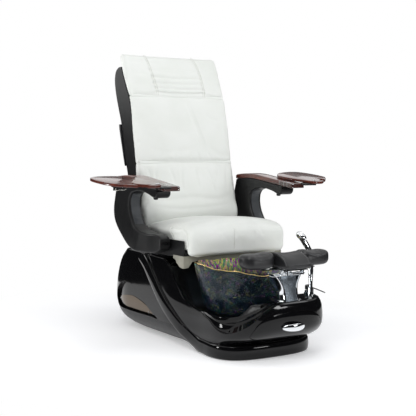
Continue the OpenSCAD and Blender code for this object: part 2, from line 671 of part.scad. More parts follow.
// Release bar under the middle pad
module release_rod() {
    color("#e3e6ea") {
        bar_x(-62, 62, rod_at[0], rod_at[1], rod_r);
        for (s = [-1, 1])
            bar_x(s * 56 - 4, s * 56 + 4, rod_at[0], rod_at[1], 6);
        box([-30, rod_at[0] - 34, rod_at[1] - 2], [30, rod_at[0] - 2, rod_at[1] + 2]);
    }
}

// Padded rest with a hollowed top; x0 is the outer end, x1 the inner end
module foot_pad(x0, x1) {
    skin([for (i = [0:10]) let (t = i / 10, x = lerp(x0, x1, t),
        e = sqrt(max(0.12, 1 - pow(abs(2 * t - 1), 5))),
        top = footrest_top - 16 + 15 * pow(2 * t - 0.9, 2))
        [for (k = [0:15]) let (a = 22.5 * k)
            [x, pad_mid + 52 * e * spow(cos(a), 0.62),
             (pad_low + top) / 2 + (top - pad_low) / 2 * e * spow(sin(a), 0.62)]]]);
}

module foot_pad_left() {
    color("#26272a") foot_pad(-footrest_half_w, -saddle_w / 2 - soft_gap);
}

module foot_pad_right() {
    color("#26272a") mirror([1, 0, 0]) foot_pad(-footrest_half_w, -saddle_w / 2 - soft_gap);
}

// Middle pad, a saddle that droops over the front; heights count from the pads' underside
saddle_line = [[26, 0], [34, 22], [32, 58], [18, 72], [-10, 77], [-50, 70], [-88, 48], [-110, 24],
    [-114, 10], [-108, 0]];
saddle_dip = 9;
module saddle_pad() {
    color("#2c2d30") skin([for (i = [0:10]) let (t = i / 10, x = lerp(-saddle_w / 2, saddle_w / 2, t),
        dip = saddle_dip * (1 - pow(2 * t - 1, 2)))
        [for (p = saddle_line) [x, pad_mid + p[0], pad_low + p[1] - dip * max(0, p[1] - 14) / 63]]]);
}

// ---------------------------------------------------------------- mixer and hand shower
mixer_x = 212;
mixer_y = 160 - nose_reach;
shower_x = 190;
shower_y = 114 - nose_reach;
inlet_r = 15;
inlet_length = 26;
lever_turn = 58.2;
lever_pin_z = 29;
lever_pin_r = 3;
stem_r2 = 9;
knob_r = 17;
lever_reach = 82;
module mixer_place() {
    translate([mixer_x, mixer_y, deck_top]) rotate(lever_turn) children();
}

module mixer_body() {
    color("#d8dadd") mixer_place() difference() {
        union() {
            translate([0, 0, 0.2]) cylinder(r = 22, h = 5);
            translate([0, 0, 5]) cylinder(r = 18, h = 10);
            translate([0, 0, -inlet_length]) cylinder(r = inlet_r, h = inlet_length + 10);
        }
        translate([0, 0, 2]) cylinder(r = stem_r2 + pin_clear, h = 40);
    }
}

module mixer_stem() {
    color("#8d9196") mixer_place() difference() {
        union() {
            translate([0, 0, 2.5]) cylinder(r = stem_r2, h = 16);
            box([-8, -6, 17], [8, 6, 35]);
        }
        bar_x(-30, 30, 0, lever_pin_z, lever_pin_r + pin_clear);
    }
}

// Knob and rod of the mixer lever
module mixer_lever() {
    color("#2f3134") mixer_place() {
        difference() {
            translate([0, 0, 20]) cylinder(r = knob_r, h = 23);
            box([-9, -13, 10], [9, 13, 39]);
        }
        bar_x(-knob_r + 1, knob_r - 1, 0, lever_pin_z, lever_pin_r);
        rod([0, -14, 29], [0, -lever_reach, 2], 3);
    }
}

shower_tilt = [-9.7, 7.2, 0];
holder_h = 40;
module shower_place() {
    translate([shower_x, shower_y, deck_top]) rotate(shower_tilt) children();
}

module shower_holder() {
    color("#d8dadd") difference() {
        union() {
            translate([shower_x, shower_y, deck_top + 0.2]) cylinder(r = 17, h = 5);
            shower_place() translate([0, 0, 3]) cylinder(r = 14, h = holder_h - 6);
            translate([shower_x, shower_y, deck_top - inlet_length]) cylinder(r = inlet_r, h = inlet_length + 2);
        }
        shower_place() translate([0, 0, 8]) cylinder(r = 10.5, h = 60);
    }
}

shower_knee = 205;
knee_bend = 38;
neck_length = 92;
spray_r = 30;
// Bent hand shower standing in its holder, its spray face turned towards the bowl
module hand_shower() {
    color("#dfe2e6") shower_place() {
        translate([0, 0, 8.5]) cylinder(r = 9.5, h = 50);
        translate([0, 0, 58]) cylinder(r1 = 9.5, r2 = 13, h = 60);
        translate([0, 0, 118]) cylinder(r = 13, h = shower_knee - 118);
        translate([0, 0, shower_knee]) sphere(r = 13);
        translate([0, 0, shower_knee]) rotate([0, -knee_bend, 0]) {
            cylinder(r1 = 13, r2 = 15, h = neck_length);
            translate([0, 0, neck_length]) rotate([0, knee_bend, 66]) rotate([-100, 0, 0]) {
                translate([0, 0, -14]) cylinder(r = spray_r, h = 20);
                translate([0, 0, 6]) cylinder(r1 = spray_r, r2 = spray_r - 6, h = 6);
            }
        }
    }
}

// Supply pipes under the deck, down to the chassis plate
pipe_run = 150;
pipe_end = -bowl_reach - 138;
module pipe(from, x, r) {
    corners = [[from[0], from[1], deck_top - inlet_length - 0.2], [from[0], from[1], pipe_run], [x, pipe_end, pipe_run],
        [x, pipe_end, plate_t + 0.1]];
    for (i = [0:2])
        rod(corners[i], corners[i + 1], r);
    for (i = [1:2])
        translate(corners[i]) sphere(r = r + 1.2);
}

module water_pipes() {
    color("#b87a4b") {
        pipe([mixer_x - 7, mixer_y - 7], 138, 5);
        pipe([mixer_x + 7, mixer_y - 7], 154, 5);
        pipe([shower_x, shower_y], 116, 7);
    }
}

// ---------------------------------------------------------------- seat slide and frame
rail_y0 = -60;
rail_base = pod_top + 0.2;
rail_w = 36;
rail_h = 22;
module seat_rails() {
    color("#8d9196") for (s = [-1, 1])
        translate([s * rail_x, rail_y0, 0]) difference() {
            box([-rail_w / 2, 0, rail_base], [rail_w / 2, rail_length, rail_base + rail_h]);
            box([-13, -past, rail_base + 3], [13, rail_length + past, rail_base + 17]);
            box([-6, -past, rail_base + 10], [6, rail_length + past, rail_base + 40]);
        }
}

frame_low = rail_base + rail_h + 2;
frame_t = 22;
tube_w = 34;
recline_y = 135;
recline_z = 508;
recline_x = 205;
arm_pivot = [30, 565];
arm_inner = arm_outer - arm_w;
lug_t = 6;
arm_plate_x = 304;
module seat_frame() {
    color("#2b2d30") difference() {
        union() {
            for (s = [-1, 1]) {
                box([s * rail_x - 12.5, 40, rail_base + 3.5], [s * rail_x + 12.5, 240, rail_base + 16.5]);
                box([s * rail_x - 5.5, 40, rail_base + 10], [s * rail_x + 5.5, 240, frame_low + 1]);
                box([s * rail_x - tube_w / 2, 90 - seat_reach, frame_low], [s * rail_x + tube_w / 2, 160, frame_low + frame_t]);
                side_plate(s * recline_x - lug_t / 2, s * recline_x + lug_t / 2,
                    [[46, frame_low], [158, frame_low], [158, recline_z + 16], [112, recline_z + 16]]);
                side_plate(s * arm_plate_x - 4, s * arm_plate_x + 4,
                    [[-80, frame_low], [90, frame_low], [56, arm_pivot[1] + 24], [4, arm_pivot[1] + 24]]);
            }
            for (y = [100 - seat_reach, -150])
                box([-260, y - 14, frame_low], [260, y + 14, frame_low + frame_t]);
            box([-308, -frame_cross, frame_low], [308, frame_cross, frame_low + frame_t]);
            box([-220, 46, frame_low], [220, 74, frame_low + frame_t]);
            for (x = [-16, 16])
                side_plate(x - 3, x + 3, [[-164, frame_low + 1], [-136, frame_low + 1], [-136, frame_low - 18],
                    [-160, frame_low - 18]]);
        }
        for (s = [-1, 1]) {
            bar_x(s * recline_x - 20, s * recline_x + 20, recline_y, recline_z, pin_r + pin_clear);
            bar_x(s * arm_plate_x - 20, s * arm_plate_x + 20, arm_pivot[0], arm_pivot[1], pin_r);
        }
        bar_x(-40, 40, actuator_foot[0], actuator_foot[1], 4 + pin_clear);
    }
}

pan_half_w = 293;
pan_wall = 4.5;
pan_low = 452;
pan_high = 536;
pan_front = 58 - seat_reach;
pan_back = 60;
pan_lip = 485;
frame_cross = 14;
module seat_pan() {
    color("#17181a") difference() {
        box([-pan_half_w, pan_front, pan_low], [pan_half_w, pan_back, pan_high]);
        box([pan_wall - pan_half_w, pan_front + pan_wall, pan_low - past],
            [pan_half_w - pan_wall, pan_back + past, pan_high + past]);
        box([pan_wall - pan_half_w, pan_front - past, pan_lip], [pan_half_w - pan_wall, pan_front + 60, pan_high + past]);
        box([-big, -frame_cross - slide_gap, pan_low - past], [big, frame_cross + slide_gap, frame_low + frame_t + slide_gap]);
    }
}

seat_low = frame_low + frame_t + 0.6;
seat_rear = 24;
seat_stations = [-seat_reach, 7 - seat_reach, 20 - seat_reach, 30 - seat_reach, 54 - seat_reach, 80 - seat_reach,
    -300, -220, -120, -30, seat_rear - 10, seat_rear];
// Height of the seat's lower and upper side, and of its narrowing at both ends
function seat_under(y) = curve([[-seat_reach, 474], [7 - seat_reach, 464], [20 - seat_reach, 459],
    [30 - seat_reach, 460], [54 - seat_reach, seat_low], [seat_rear, seat_low]], y);
function seat_over(y) = curve([[-seat_reach, 566], [7 - seat_reach, 594], [20 - seat_reach, 606],
    [50 - seat_reach, 617], [-300, 622], [-220, 618], [-120, 612], [-30, 610],
    [seat_rear - 10, 604], [seat_rear, 590]], y);
function seat_side(y) = let (front = seat_half_w - 10 * pow(clamp((25 - seat_reach - y) / 25, 0, 1), 2))
    front - 1.5 * (1 + cos(y * 2));
module seat_cushion() {
    color("#e9ece7") skin([for (i = [len(seat_stations) - 1:-1:0]) let (y = seat_stations[i])
        [for (p = pad_ring(seat_side(y), seat_under(y), seat_over(y) - 4, 12, 26,
            seat_top - 614 - (y < 10 - seat_reach ? 6 : 0))) [p[0], y, p[1]]]]);
}

apron_t = 3;
// Cloth flap that hangs round the seat pan's front edge, longest at the two corners
apron_top = pan_low + 10;
apron_plan = let (w = pan_half_w + 0.4, f = pan_front - 0.4) concat(
    [[-w, f + 100, 446], [-w, f + 80, 440], [-w, f + 60, 424], [-w, f + 40, 409], [-w, f + 12, 403],
     [-w, f, 402], [12 - w, f, 403], [-268, f, 405], [-257, f, 420], [-248, f, 432]],
    [for (x = [-225, -200, -160, -120, -80, -40]) [x, f, 437 - 4 * cos(x * 3)]]);
apron_line = concat(apron_plan, [[0, pan_front - 0.4, 436]],
    [for (i = [len(apron_plan) - 1:-1:0]) let (p = apron_plan[i]) [-p[0], p[1], p[2]]]);
function apron_ring(i) = let (n = len(apron_line), p = apron_line[i])
    let (d = apron_line[min(n - 1, i + 1)] - apron_line[max(0, i - 1)], out = unit([d[1], -d[0], 0]) * apron_t)
    [[p[0], p[1], p[2]], [p[0], p[1], apron_top], [p[0] + out[0], p[1] + out[1], apron_top],
     [p[0] + out[0], p[1] + out[1], p[2]]];
module apron() {
    color("#8f8f82") skin([for (i = [0:len(apron_line) - 1]) apron_ring(i)]);
}

module hinge_pins() {
    color("#c9ccd0") for (s = [-1, 1]) {
        bar_x(s * (recline_x + 3) - 14, s * (recline_x + 3) + 14, recline_y, recline_z, pin_r);
        bar_x(min(s * (arm_plate_x - 4), s * (arm_inner + 22)), max(s * (arm_plate_x - 4), s * (arm_inner + 22)),
            arm_pivot[0], arm_pivot[1], pin_r);
    }
}

// ---------------------------------------------------------------- recline actuator
actuator_z = frame_low - 11;
actuator_foot = [-148, actuator_z];
lever_r = 56;
lever_rest = 15;
lever_end = [recline_y + lever_r * sin(lever_rest), recline_z - lever_r * cos(lever_rest)];
eye_gap = 2.2;
tube_end = 30;
module recline_tube() {
    color("#3a3d42") difference() {
        union() {
            translate([0, actuator_foot[0], actuator_z]) rotate([-90, 0, 0]) cylinder(r = 9, h = tube_end - actuator_foot[0]);
            bar_x(-12.5, 12.5, actuator_foot[0], actuator_z, 8);
            box([-12, -128, actuator_z - 9], [12, -90, actuator_z + 9]);
        }
        translate([0, -80, actuator_z]) rotate([-90, 0, 0]) cylinder(r = 5.5 + pin_clear, h = 200);
        bar_x(-40, 40, actuator_foot[0], actuator_z, 4 + pin_clear);
    }
}

module recline_rod() {
    color("#c9ccd0") difference() {
        union() {
            translate([0, -30, actuator_z]) rotate([-90, 0, 0]) cylinder(r = 5.5, h = lever_end[0] + 22);
            bar_x(-5, 5, lever_end[0], actuator_z, 9.5);
        }
        bar_x(-20, 20, lever_end[0], lever_end[1], 4 + eye_gap);
    }
}

// ---------------------------------------------------------------- back
front_line = [[560, 30], [600, 30], [648, 30], [711, 48], [800, 68], [912, 94], [1000, 114], [1100, 135],
    [1200, 159], [1272, 179], [1350, 213], [1430, 247], [back_top - 5, 280], [back_top + 20, 292]];
border_line = [[560, 112], [650, 122], [846, 138], [971, 149], [1058, 163], [1135, 175], [1195, 187],
    [1258, 207], [1301, 233], [1374, 270], [1404, 286], [1440, 303], [back_top + 5, 334]];
rear_line = [[560, 162], [700, 210], [844, 246], [921, 270], [1027, 296], [1138, 326], [1206, 354],
    [1286, 385], [1350, 400], [1385, 399], [1415, 386], [1440, 356]];
shell_t = 5;
shell_half_w = back_half_w - 4;
shell_low = 626;
shell_gap = 2.2;
shell_high = 1436;
function shell_ring(z, inset, open) = let (y0 = curve(border_line, z) + (open ? -40 : shell_gap), y1 = curve(rear_line, z) - inset)
    let (hw = shell_half_w - inset, r = min(26, (y1 - y0) / 2.2))
    [for (p = pad_ring(hw, y0, max(y1, y0 + 8), 2, r, 0)) [p[0], p[1], z]];

module back_shell() {
    color("#17181a") difference() {
        skin([for (i = [0:12]) shell_ring(lerp(shell_low, shell_high, i / 12), 0, false)]);
        skin([for (i = [0:9]) shell_ring(lerp(shell_low - past, shell_high - 34, i / 9), shell_t, true)]);
    }
}

back_crown = 7;
function back_ring(z, z0, z1, edge) =
    let (t = (z - z0) / (z1 - z0), pinch = pow(abs(2 * t - 1), 6))
    let (y0 = curve(front_line, z) + 9 * pinch, y1 = curve(border_line, z))
    let (hw = back_half_w - 4 * pow(2 * t - 1, 2) - edge * 6 * max(0, t - 0.75), deep = y1 - y0 - back_crown)
    [for (p = pad_ring(hw, -y1, -y0 - back_crown, min(6, deep / 3), min(22, deep / 2), back_crown))
        [p[0], -p[1], z]];
module back_pad(z0, z1, edge) {
    skin([for (i = [10:-1:0]) back_ring(lerp(z0, z1, i / 10), z0, z1, edge)]);
}

seam_low = 912;
seam_high = 1272;
module head_pad() {
    color("#e9ece7") back_pad(seam_high + 0.5, back_top, 1);
}

module back_pad_middle() {
    color("#e9ece7") back_pad(seam_low + 0.5, seam_high, 0);
}

module back_pad_lower() {
    color("#e9ece7") back_pad(562, seam_low, 0);
}

// Closing flap of the cover, lying over the back shell
flap_low = 896;
flap_high = 1124;
flap_gap = 1.6;
function flap_ring(z) = let (t = (z - flap_low) / (flap_high - flap_low), y = curve(rear_line, z) + flap_gap)
    [for (p = pad_ring(shell_half_w - 3, y, y + 8 + 20 * t, 1, 4 + 6 * t, 0)) [p[0], p[1], z]];
module back_flap() {
    color("#1d1e20") skin([for (i = [0:4]) flap_ring(lerp(flap_low, flap_high, i / 4))]);
}

frame_foot = [150, 534];
frame_head = [309, 1350];
frame_x = 235;
massage_mid = [227, 1000];
massage_tilt = 10.5;
massage_half = 300;
massage_rail_r = 6;
module massage_place() {
    translate([0, massage_mid[0], massage_mid[1]]) rotate([-massage_tilt, 0, 0]) children();
}

module back_frame() {
    color("#3a3d42") difference() {
        union() {
            for (s = [-1, 1]) {
                rod([s * frame_x, frame_foot[0], frame_foot[1]], [s * frame_x, frame_head[0], frame_head[1]], 11);
                side_plate(min(s * 211, s * 217), max(s * 211, s * 217), [[118, recline_z - 16],
                    [152, recline_z - 16], [176, 566], [140, 566]]);
                box([min(s * 211, s * 240), 146, 540], [max(s * 211, s * 240), 168, 566]);
                side_plate(min(s * 7, s * 11), max(s * 7, s * 11), [[lever_end[0] - 9, lever_end[1] - 8],
                    [lever_end[0] + 9, lever_end[1] - 8], [168, 560], [148, 560]]);
            }
            box([-frame_x, 148, 544], [frame_x, 168, 562]);
            massage_place() for (s = [-1, 1])
                box([-frame_x, -8, s * (massage_half + 5) - 5], [frame_x, 16, s * (massage_half + 5) + 5]);
            bar_x(-11, 11, lever_end[0], lever_end[1], 4);
        }
        for (s = [-1, 1])
            bar_x(s * 214 - 5, s * 214 + 5, recline_y, recline_z, pin_r + pin_clear);
    }
}

module massage_rails() {
    color("#c9ccd0") massage_place() for (s = [-1, 1])
        translate([s * massage_rail_x, 0, -massage_half + 0.2]) cylinder(r = massage_rail_r, h = 2 * massage_half - 0.4);
}

roller_y = -20;
roller_shaft_r = 4;
roller_x = 52;
roller_w = 24;
module massage_carriage() {
    color("#4a4d52") massage_place() difference() {
        union() {
            box([-massage_rail_x - 16, -10, -40], [massage_rail_x + 16, 16, 40]);
            for (s = [-1, 1])
                box([s * 34 - 3, roller_y - 8, -12], [s * 34 + 3, -8, 12]);
        }
        for (s = [-1, 1]) {
            translate([s * massage_rail_x, 0, -50]) cylinder(r = massage_rail_r + pin_clear, h = 100);
            box([s * roller_x - roller_w / 2 - 2, -40, -roller_r - 3], [s * roller_x + roller_w / 2 + 2, 9, roller_r + 3]);
        }
        bar_x(-80, 80, roller_y, 0, roller_shaft_r + pin_clear);
    }
}

module massage_rollers() {
    color("#8a8d86") massage_place() {
        bar_x(-roller_x - roller_w / 2, roller_x + roller_w / 2, roller_y, 0, roller_shaft_r);
        for (s = [-1, 1]) {
            bar_x(s * roller_x - roller_w / 2 + 6, s * roller_x + roller_w / 2 - 6, roller_y, 0, roller_r);
            bar_x(s * roller_x - roller_w / 2, s * roller_x + roller_w / 2, roller_y, 0, roller_r - 5);
        }
    }
}

// ---------------------------------------------------------------- arms
cap_line = [[-398, 807.5], [-357, 812.7], [-269, 824.1], [-146, 840], [-56, 851], [30, 853], [124, 846]];
cap_front = -290;
cap_rear = 124;
block_front = -398;
branch_end = -245;
branch_shift = 32;
branch_top = 600;
arm_outline = closed_curve(concat(
    [[122, curve(cap_line, 122) - cap_h], [142, 770], [161, 709], [170, 650], [153, 604], [115, 566],
     [60, 522], [0, 483], [-60, 469], [-130, 465], [-190, 467], [-228, 478], [branch_end, 502],
     [branch_end - 1, 532], [branch_end + 9, 555], [-205, 562], [-150, 561], [-104, 571], [-54, 604],
     [-22, 652], [-9, 700], [-14, 736], [-44, 764], [-114, 777], [-160, 774], [-220, 763],
     [-262, 750], [-290, 746], [-306, 756], [-312, 780]],
    [for (y = [-312, -260, -180, -100, 0, 80]) [y, curve(cap_line, y) - cap_h]]), 3);
// Plan of the lower branch, which bends in beside the seat
branch_plan = [[arm_inner, 200], [arm_outer, 200], [arm_outer, -70], [arm_outer - branch_shift, -160],
    [arm_outer - branch_shift - 26, branch_end - 10], [arm_inner - branch_shift, branch_end - 10],
    [arm_inner - branch_shift, -120], [arm_inner, -60]];

module arm_shell(side) {
    mirror([side < 0 ? 1 : 0, 0, 0]) difference() {
        intersection() {
            side_plate(arm_inner - branch_shift, arm_outer, arm_outline);
            union() {
                box([arm_inner, -big, branch_top], [arm_outer, big, big]);
                translate([0, 0, branch_top - 200]) linear_extrude(201) polygon(branch_plan);
            }
        }
        bar_x(arm_inner - past, arm_inner + 24, arm_pivot[0], arm_pivot[1], pin_r + pin_clear);
        side_plate(arm_inner - past, arm_outer + past, cap_band(block_front, cap_front, 4, -cap_h, cap_h + 0.1));
        side_plate(arm_inner - past, arm_outer + past, cap_band(cap_front, cap_rear, 12, -cap_h, cap_h + 0.1));
    }
}

module arm_shell_left() {
    color("#1b1c1e") arm_shell(-1);
}

module arm_shell_right() {
    color("#1b1c1e") arm_shell(1);
}

function cap_band(y0, y1, n, low, high) = concat(
    [for (i = [0:n]) let (y = lerp(y0, y1, i / n)) [y, curve(cap_line, y) - low]],
    [for (i = [n:-1:0]) let (y = lerp(y0, y1, i / n)) [y, curve(cap_line, y) - high]]);

cap_over = 2;
module arm_cap(side) {
    side_plate(min(side * (arm_inner - cap_over), side * (arm_outer + cap_over)),
        max(side * (arm_inner - cap_over), side * (arm_outer + cap_over)),
        cap_band(cap_front, cap_rear, 12, 0, cap_h));
}

module arm_cap_left() {
    color("#4b2420") arm_cap(-1);
}

module arm_cap_right() {
    color("#4b2420") arm_cap(1);
}

tray_pivot = [arm_outer + 50, -414];
tray_slope = 7.4;
tray_pin_r = 6;
tray_gap = 1.5;
tongue_t = 7;
module tray_place(side) {
    mirror([side < 0 ? 1 : 0, 0, 0])
        translate([tray_pivot[0], tray_pivot[1], curve(cap_line, cap_line[0][0]) - 2])
            rotate([tray_slope, 0, 0]) children();
}

// Wooden end block of the cap with the steel tongue that carries the tray's pin
module tray_hinge(side) {
    mirror([side < 0 ? 1 : 0, 0, 0])
        side_plate(arm_inner - cap_over, arm_outer + cap_over, cap_band(block_front, cap_front - 1, 4, 0, cap_h));
    tray_place(side) {
        box([arm_outer - tray_pivot[0] - 18, -16, 1 - tongue_t], [0, 40, 1]);
        translate([0, 0, 1 - tongue_t]) cylinder(r = 16, h = tongue_t);
        cylinder(r = tray_pin_r, h = tray_gap + tray_t + 1);
        translate([0, 0, tray_gap + tray_t + 0.6]) cylinder(r = 11, h = 2.6);
    }
}

module tray_hinge_left() {
    color("#3c1c19") tray_hinge(-1);
}

module tray_hinge_right() {
    color("#3c1c19") tray_hinge(1);
}

tray_outline = closed_curve([[22, -34], [68, -27], [134, -4], [185, 20], [216, 46], [240, 98], [253, 170],
    [248, 218], [222, 246], [172, 262], [96, 262], [44, 242], [2, 212], [-18, 148], [-20, 60], [-14, -8]], 3);
slot_mid = [76, 18];
slot_r = 46;
module tray(side, turn) {
    tray_place(side) rotate(turn) difference() {
        translate([0, 0, tray_gap]) linear_extrude(tray_t) polygon(tray_outline);
        translate([0, 0, tray_gap - past]) {
            cylinder(r = tray_pin_r + pin_clear, h = tray_t + 2 * past);
            translate(slot_mid) linear_extrude(tray_t + 2 * past) difference() {
                circle(r = slot_r);
                translate([-30, 36]) circle(r = 62);
            }
        }
    }
}

module tray_left() {
    color("#6b3428") tray(-1, tray_turn_left);
}

module tray_right() {
    color("#6b3428") tray(1, tray_turn_right);
}

module tray_bracket(side, turn) {
    tray_place(side) rotate(turn) {
        box([40, 52, tray_gap - 7], [206, 74, tray_gap - 0.1]);
        box([176, 56, tray_gap - 22], [202, 60, tray_gap - 6]);
        box([120, 56, tray_gap - 16], [150, 60, tray_gap - 6]);
    }
}

module tray_bracket_left() {
    color("#1b1c1e") tray_bracket(-1, tray_turn_left);
}

module tray_bracket_right() {
    color("#1b1c1e") tray_bracket(1, tray_turn_right);
}

base_pod();
front_body();
deck_panel();
sweep_rim();
rear_skirt();
well_liner();
side_mirror_left();
side_mirror_right();
panel_screws();
chassis();
bowl();
drain_flange();
drain_stopper();
drain_pipe();
jet_housing();
jet_cap();
jet_impeller();
jet_motor();
motor_rotor();
hatch_panel();
hatch_handle();
footrest_column();
footrest_slider();
release_rod();
foot_pad_left();
foot_pad_right();
saddle_pad();
mixer_body();
mixer_stem();
mixer_lever();
shower_holder();
hand_shower();
water_pipes();
seat_rails();
seat_frame();
seat_pan();
seat_cushion();
apron();
hinge_pins();
recline_tube();
recline_rod();
back_frame();
back_shell();
head_pad();
back_pad_middle();
back_pad_lower();
back_flap();
massage_rails();
massage_carriage();
massage_rollers();
arm_shell_left();
arm_shell_right();
arm_cap_left();
arm_cap_right();
tray_hinge_left();
tray_hinge_right();
tray_left();
tray_right();
tray_bracket_left();
tray_bracket_right();
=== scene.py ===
import json
from math import atan2, cos, hypot, pi, radians, sin, sqrt

import bmesh
import bpy
import numpy as np
from mathutils import Matrix, Vector


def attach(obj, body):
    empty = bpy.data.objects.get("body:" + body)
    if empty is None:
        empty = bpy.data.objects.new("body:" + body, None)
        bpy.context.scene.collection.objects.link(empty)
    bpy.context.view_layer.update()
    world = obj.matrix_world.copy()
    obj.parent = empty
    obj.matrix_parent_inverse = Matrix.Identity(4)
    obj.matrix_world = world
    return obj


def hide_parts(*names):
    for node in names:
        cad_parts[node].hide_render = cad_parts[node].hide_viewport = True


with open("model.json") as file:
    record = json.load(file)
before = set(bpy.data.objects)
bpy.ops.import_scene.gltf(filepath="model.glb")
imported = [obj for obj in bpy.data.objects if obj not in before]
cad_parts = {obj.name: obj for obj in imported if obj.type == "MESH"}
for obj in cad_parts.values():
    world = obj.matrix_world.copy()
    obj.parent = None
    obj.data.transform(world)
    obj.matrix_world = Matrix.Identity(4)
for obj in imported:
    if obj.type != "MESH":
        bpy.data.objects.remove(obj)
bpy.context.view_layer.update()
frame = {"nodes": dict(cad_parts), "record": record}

MM = 0.001
nodes = frame["nodes"]
scene = bpy.context.scene


# ---------------------------------------------------------------- small maths, in millimetres
def lerp(a, b, t):
    return a + (b - a) * t


def spread(a, b, n):
    """n + 1 values evenly from a to b."""
    return [lerp(a, b, i / n) for i in range(n + 1)]


def around(n):
    """Angles of n points round a full turn."""
    return [2 * pi * k / n for k in range(n)]


def clamp(v, lo=0.0, hi=1.0):
    return min(hi, max(lo, v))


def ease(t):
    t = clamp(t)
    return t * t * (3 - 2 * t)


def spow(v, e):
    """Power that keeps the sign of v."""
    return (1 if v >= 0 else -1) * abs(v) ** e


def rounded(share, power):
    """Height of a rounded corner of width 1 at a share of its width."""
    return (1 - share**power) ** (1 / power)


def curve(p, key, column=1):
    """Smooth curve through the values in one column of rows that start with their key."""
    k = clamp(key, p[0][0], p[-1][0])
    i = 0
    while i < len(p) - 2 and p[i + 1][0] <= k:
        i += 1

    def slope(j):
        a, b = max(0, j - 1), min(len(p) - 1, j + 1)
        return (p[b][column] - p[a][column]) / (p[b][0] - p[a][0])

    w = p[i + 1][0] - p[i][0]
    t = (k - p[i][0]) / w
    return ((2 * t**3 - 3 * t**2 + 1) * p[i][column] + (t**3 - 2 * t**2 + t) * w * slope(i)
            + (3 * t**2 - 2 * t**3) * p[i + 1][column] + (t**3 - t**2) * w * slope(i + 1))


def turn(degrees, axis):
    return Matrix.Rotation(radians(degrees), 4, axis)


def catmull(points, steps, closed=False):
    """Points of a smooth line through the given ones."""
    n = len(points)
    p = [Vector(q) for q in points]
    out = []
    for i in range(n if closed else n - 1):
        a = p[(i - 1) % n] if closed or i > 0 else p[0] * 2 - p[1]
        b, c = p[i], p[(i + 1) % n]
        d = p[(i + 2) % n] if closed or i < n - 2 else p[-1] * 2 - p[-2]
        for s in range(steps):
            t = s / steps
            out.append(0.5 * (2 * b + (c - a) * t + (2 * a - 5 * b + 4 * c - d) * t**2
                              + (3 * b - a - 3 * c + d) * t**3))
    if not closed:
        out.append(p[-1])
    return out


# ---------------------------------------------------------------- objects
def shade(o, angle=40):
    for f in o.data.polygons:
        f.use_smooth = True
    o.data.set_sharp_from_angle(angle=radians(angle))
    return o


def make(name, verts, faces, angle=40):
    me = bpy.data.meshes.new(name)
    me.from_pydata([Vector(v) * MM for v in verts], [], faces)
    bm = bmesh.new()
    bm.from_mesh(me)
    bmesh.ops.recalc_face_normals(bm, faces=bm.faces)
    bm.to_mesh(me)
    bm.free()
    o = bpy.data.objects.new(name, me)
    bpy.context.scene.collection.objects.link(o)
    return shade(o, angle)


def loft(name, rings, angle=40, caps=True, closed=True, loop=False):
    """Skin through rings with the same number of points each."""
    n, m = len(rings[0]), len(rings)
    verts = [p for r in rings for p in r]
    faces = []
    for i in range(m if loop else m - 1):
        k = (i + 1) % m
        for j in range(n if closed else n - 1):
            q = (j + 1) % n
            faces.append((i * n + j, i * n + q, k * n + q, k * n + j))
    if caps and not loop:
        faces.append(tuple(range(n - 1, -1, -1)))
        faces.append(tuple((m - 1) * n + j for j in range(n)))
    return make(name, verts, faces, angle)


def tube(name, points, radii, sides=12, angle=60):
    """Round bar along a line of points; radii is one radius or one for each point."""
    pts = [Vector(p) for p in points]
    if not isinstance(radii, list):
        radii = [radii] * len(pts)
    rings = []
    side = (pts[1] - pts[0]).normalized().orthogonal().normalized()
    for i, p in enumerate(pts):
        t = (pts[min(i + 1, len(pts) - 1)] - pts[max(i - 1, 0)]).normalized()
        side = (side - t * side.dot(t)).normalized()
        up = t.cross(side)
        rings.append([p + (side * cos(a) + up * sin(a)) * radii[i] for a in around(sides)])
    return loft(name, rings, angle)


def turned(name, profile, place, sides=48, angle=35):
    """Solid of revolution about Z from (radius, height) pairs, then placed by a matrix in mm."""
    return loft(name, [[place @ Vector((r * cos(a), r * sin(a), z)) for a in around(sides)]
                       for r, z in profile], angle)


def placed(o, m):
    """Moves a piece that was built in a local frame, in mm."""
    for step in (Matrix.Scale(1 / MM, 4), m, Matrix.Scale(MM, 4)):
        o.data.transform(step)
    if m.determinant() < 0:
        o.data.flip_normals()
    return o


def join(name, parts):
    bpy.ops.object.select_all(action="DESELECT")
    for p in parts:
        p.select_set(True)
    bpy.context.view_layer.objects.active = parts[0]
    bpy.ops.object.join()
    parts[0].name = name
    return parts[0]


def apply_modifiers(o):
    bpy.context.view_layer.update()
    dg = bpy.context.evaluated_depsgraph_get()
    me = bpy.data.meshes.new_from_object(o.evaluated_get(dg))
    o.modifiers.clear()
    old = o.data
    o.data = me
    bpy.data.meshes.remove(old)
    return o


def block(name, lo, hi, round_off=0.0):
    """Straight block between two corners, its edges rounded off."""
    (a, b, c), (d, e, f) = lo, hi
    o = make(name, [(a, b, c), (d, b, c), (d, e, c), (a, e, c), (a, b, f), (d, b, f), (d, e, f),
                    (a, e, f)], [(0, 3, 2, 1), (4, 5, 6, 7), (0, 1, 5, 4), (1, 2, 6, 5), (2, 3, 7, 6),
                    (3, 0, 4, 7)])
    if round_off:
        apply_modifiers(bevelled(o, round_off))
        shade(o)
    return o


def bevelled(o, width, angle=30):
    """Rounds off the edges that turn by more than the angle."""
    m = o.modifiers.new("edge", "BEVEL")
    m.width = width * MM
    m.segments = 3
    m.limit_method = "ANGLE"
    m.angle_limit = radians(angle)
    m.harden_normals = True
    return shade(o)


def cut(o, cutter):
    m = o.modifiers.new("cut", "BOOLEAN")
    m.operation = "DIFFERENCE"
    m.object = cutter
    m.solver = "EXACT"
    apply_modifiers(o)
    bpy.data.objects.remove(cutter)
    return o


def put(o, body, mat, slot, *replaced):
    o.data.materials.clear()
    o.data.materials.append(mat)
    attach(o, body)
    if replaced:
        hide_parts(*replaced)
    return o


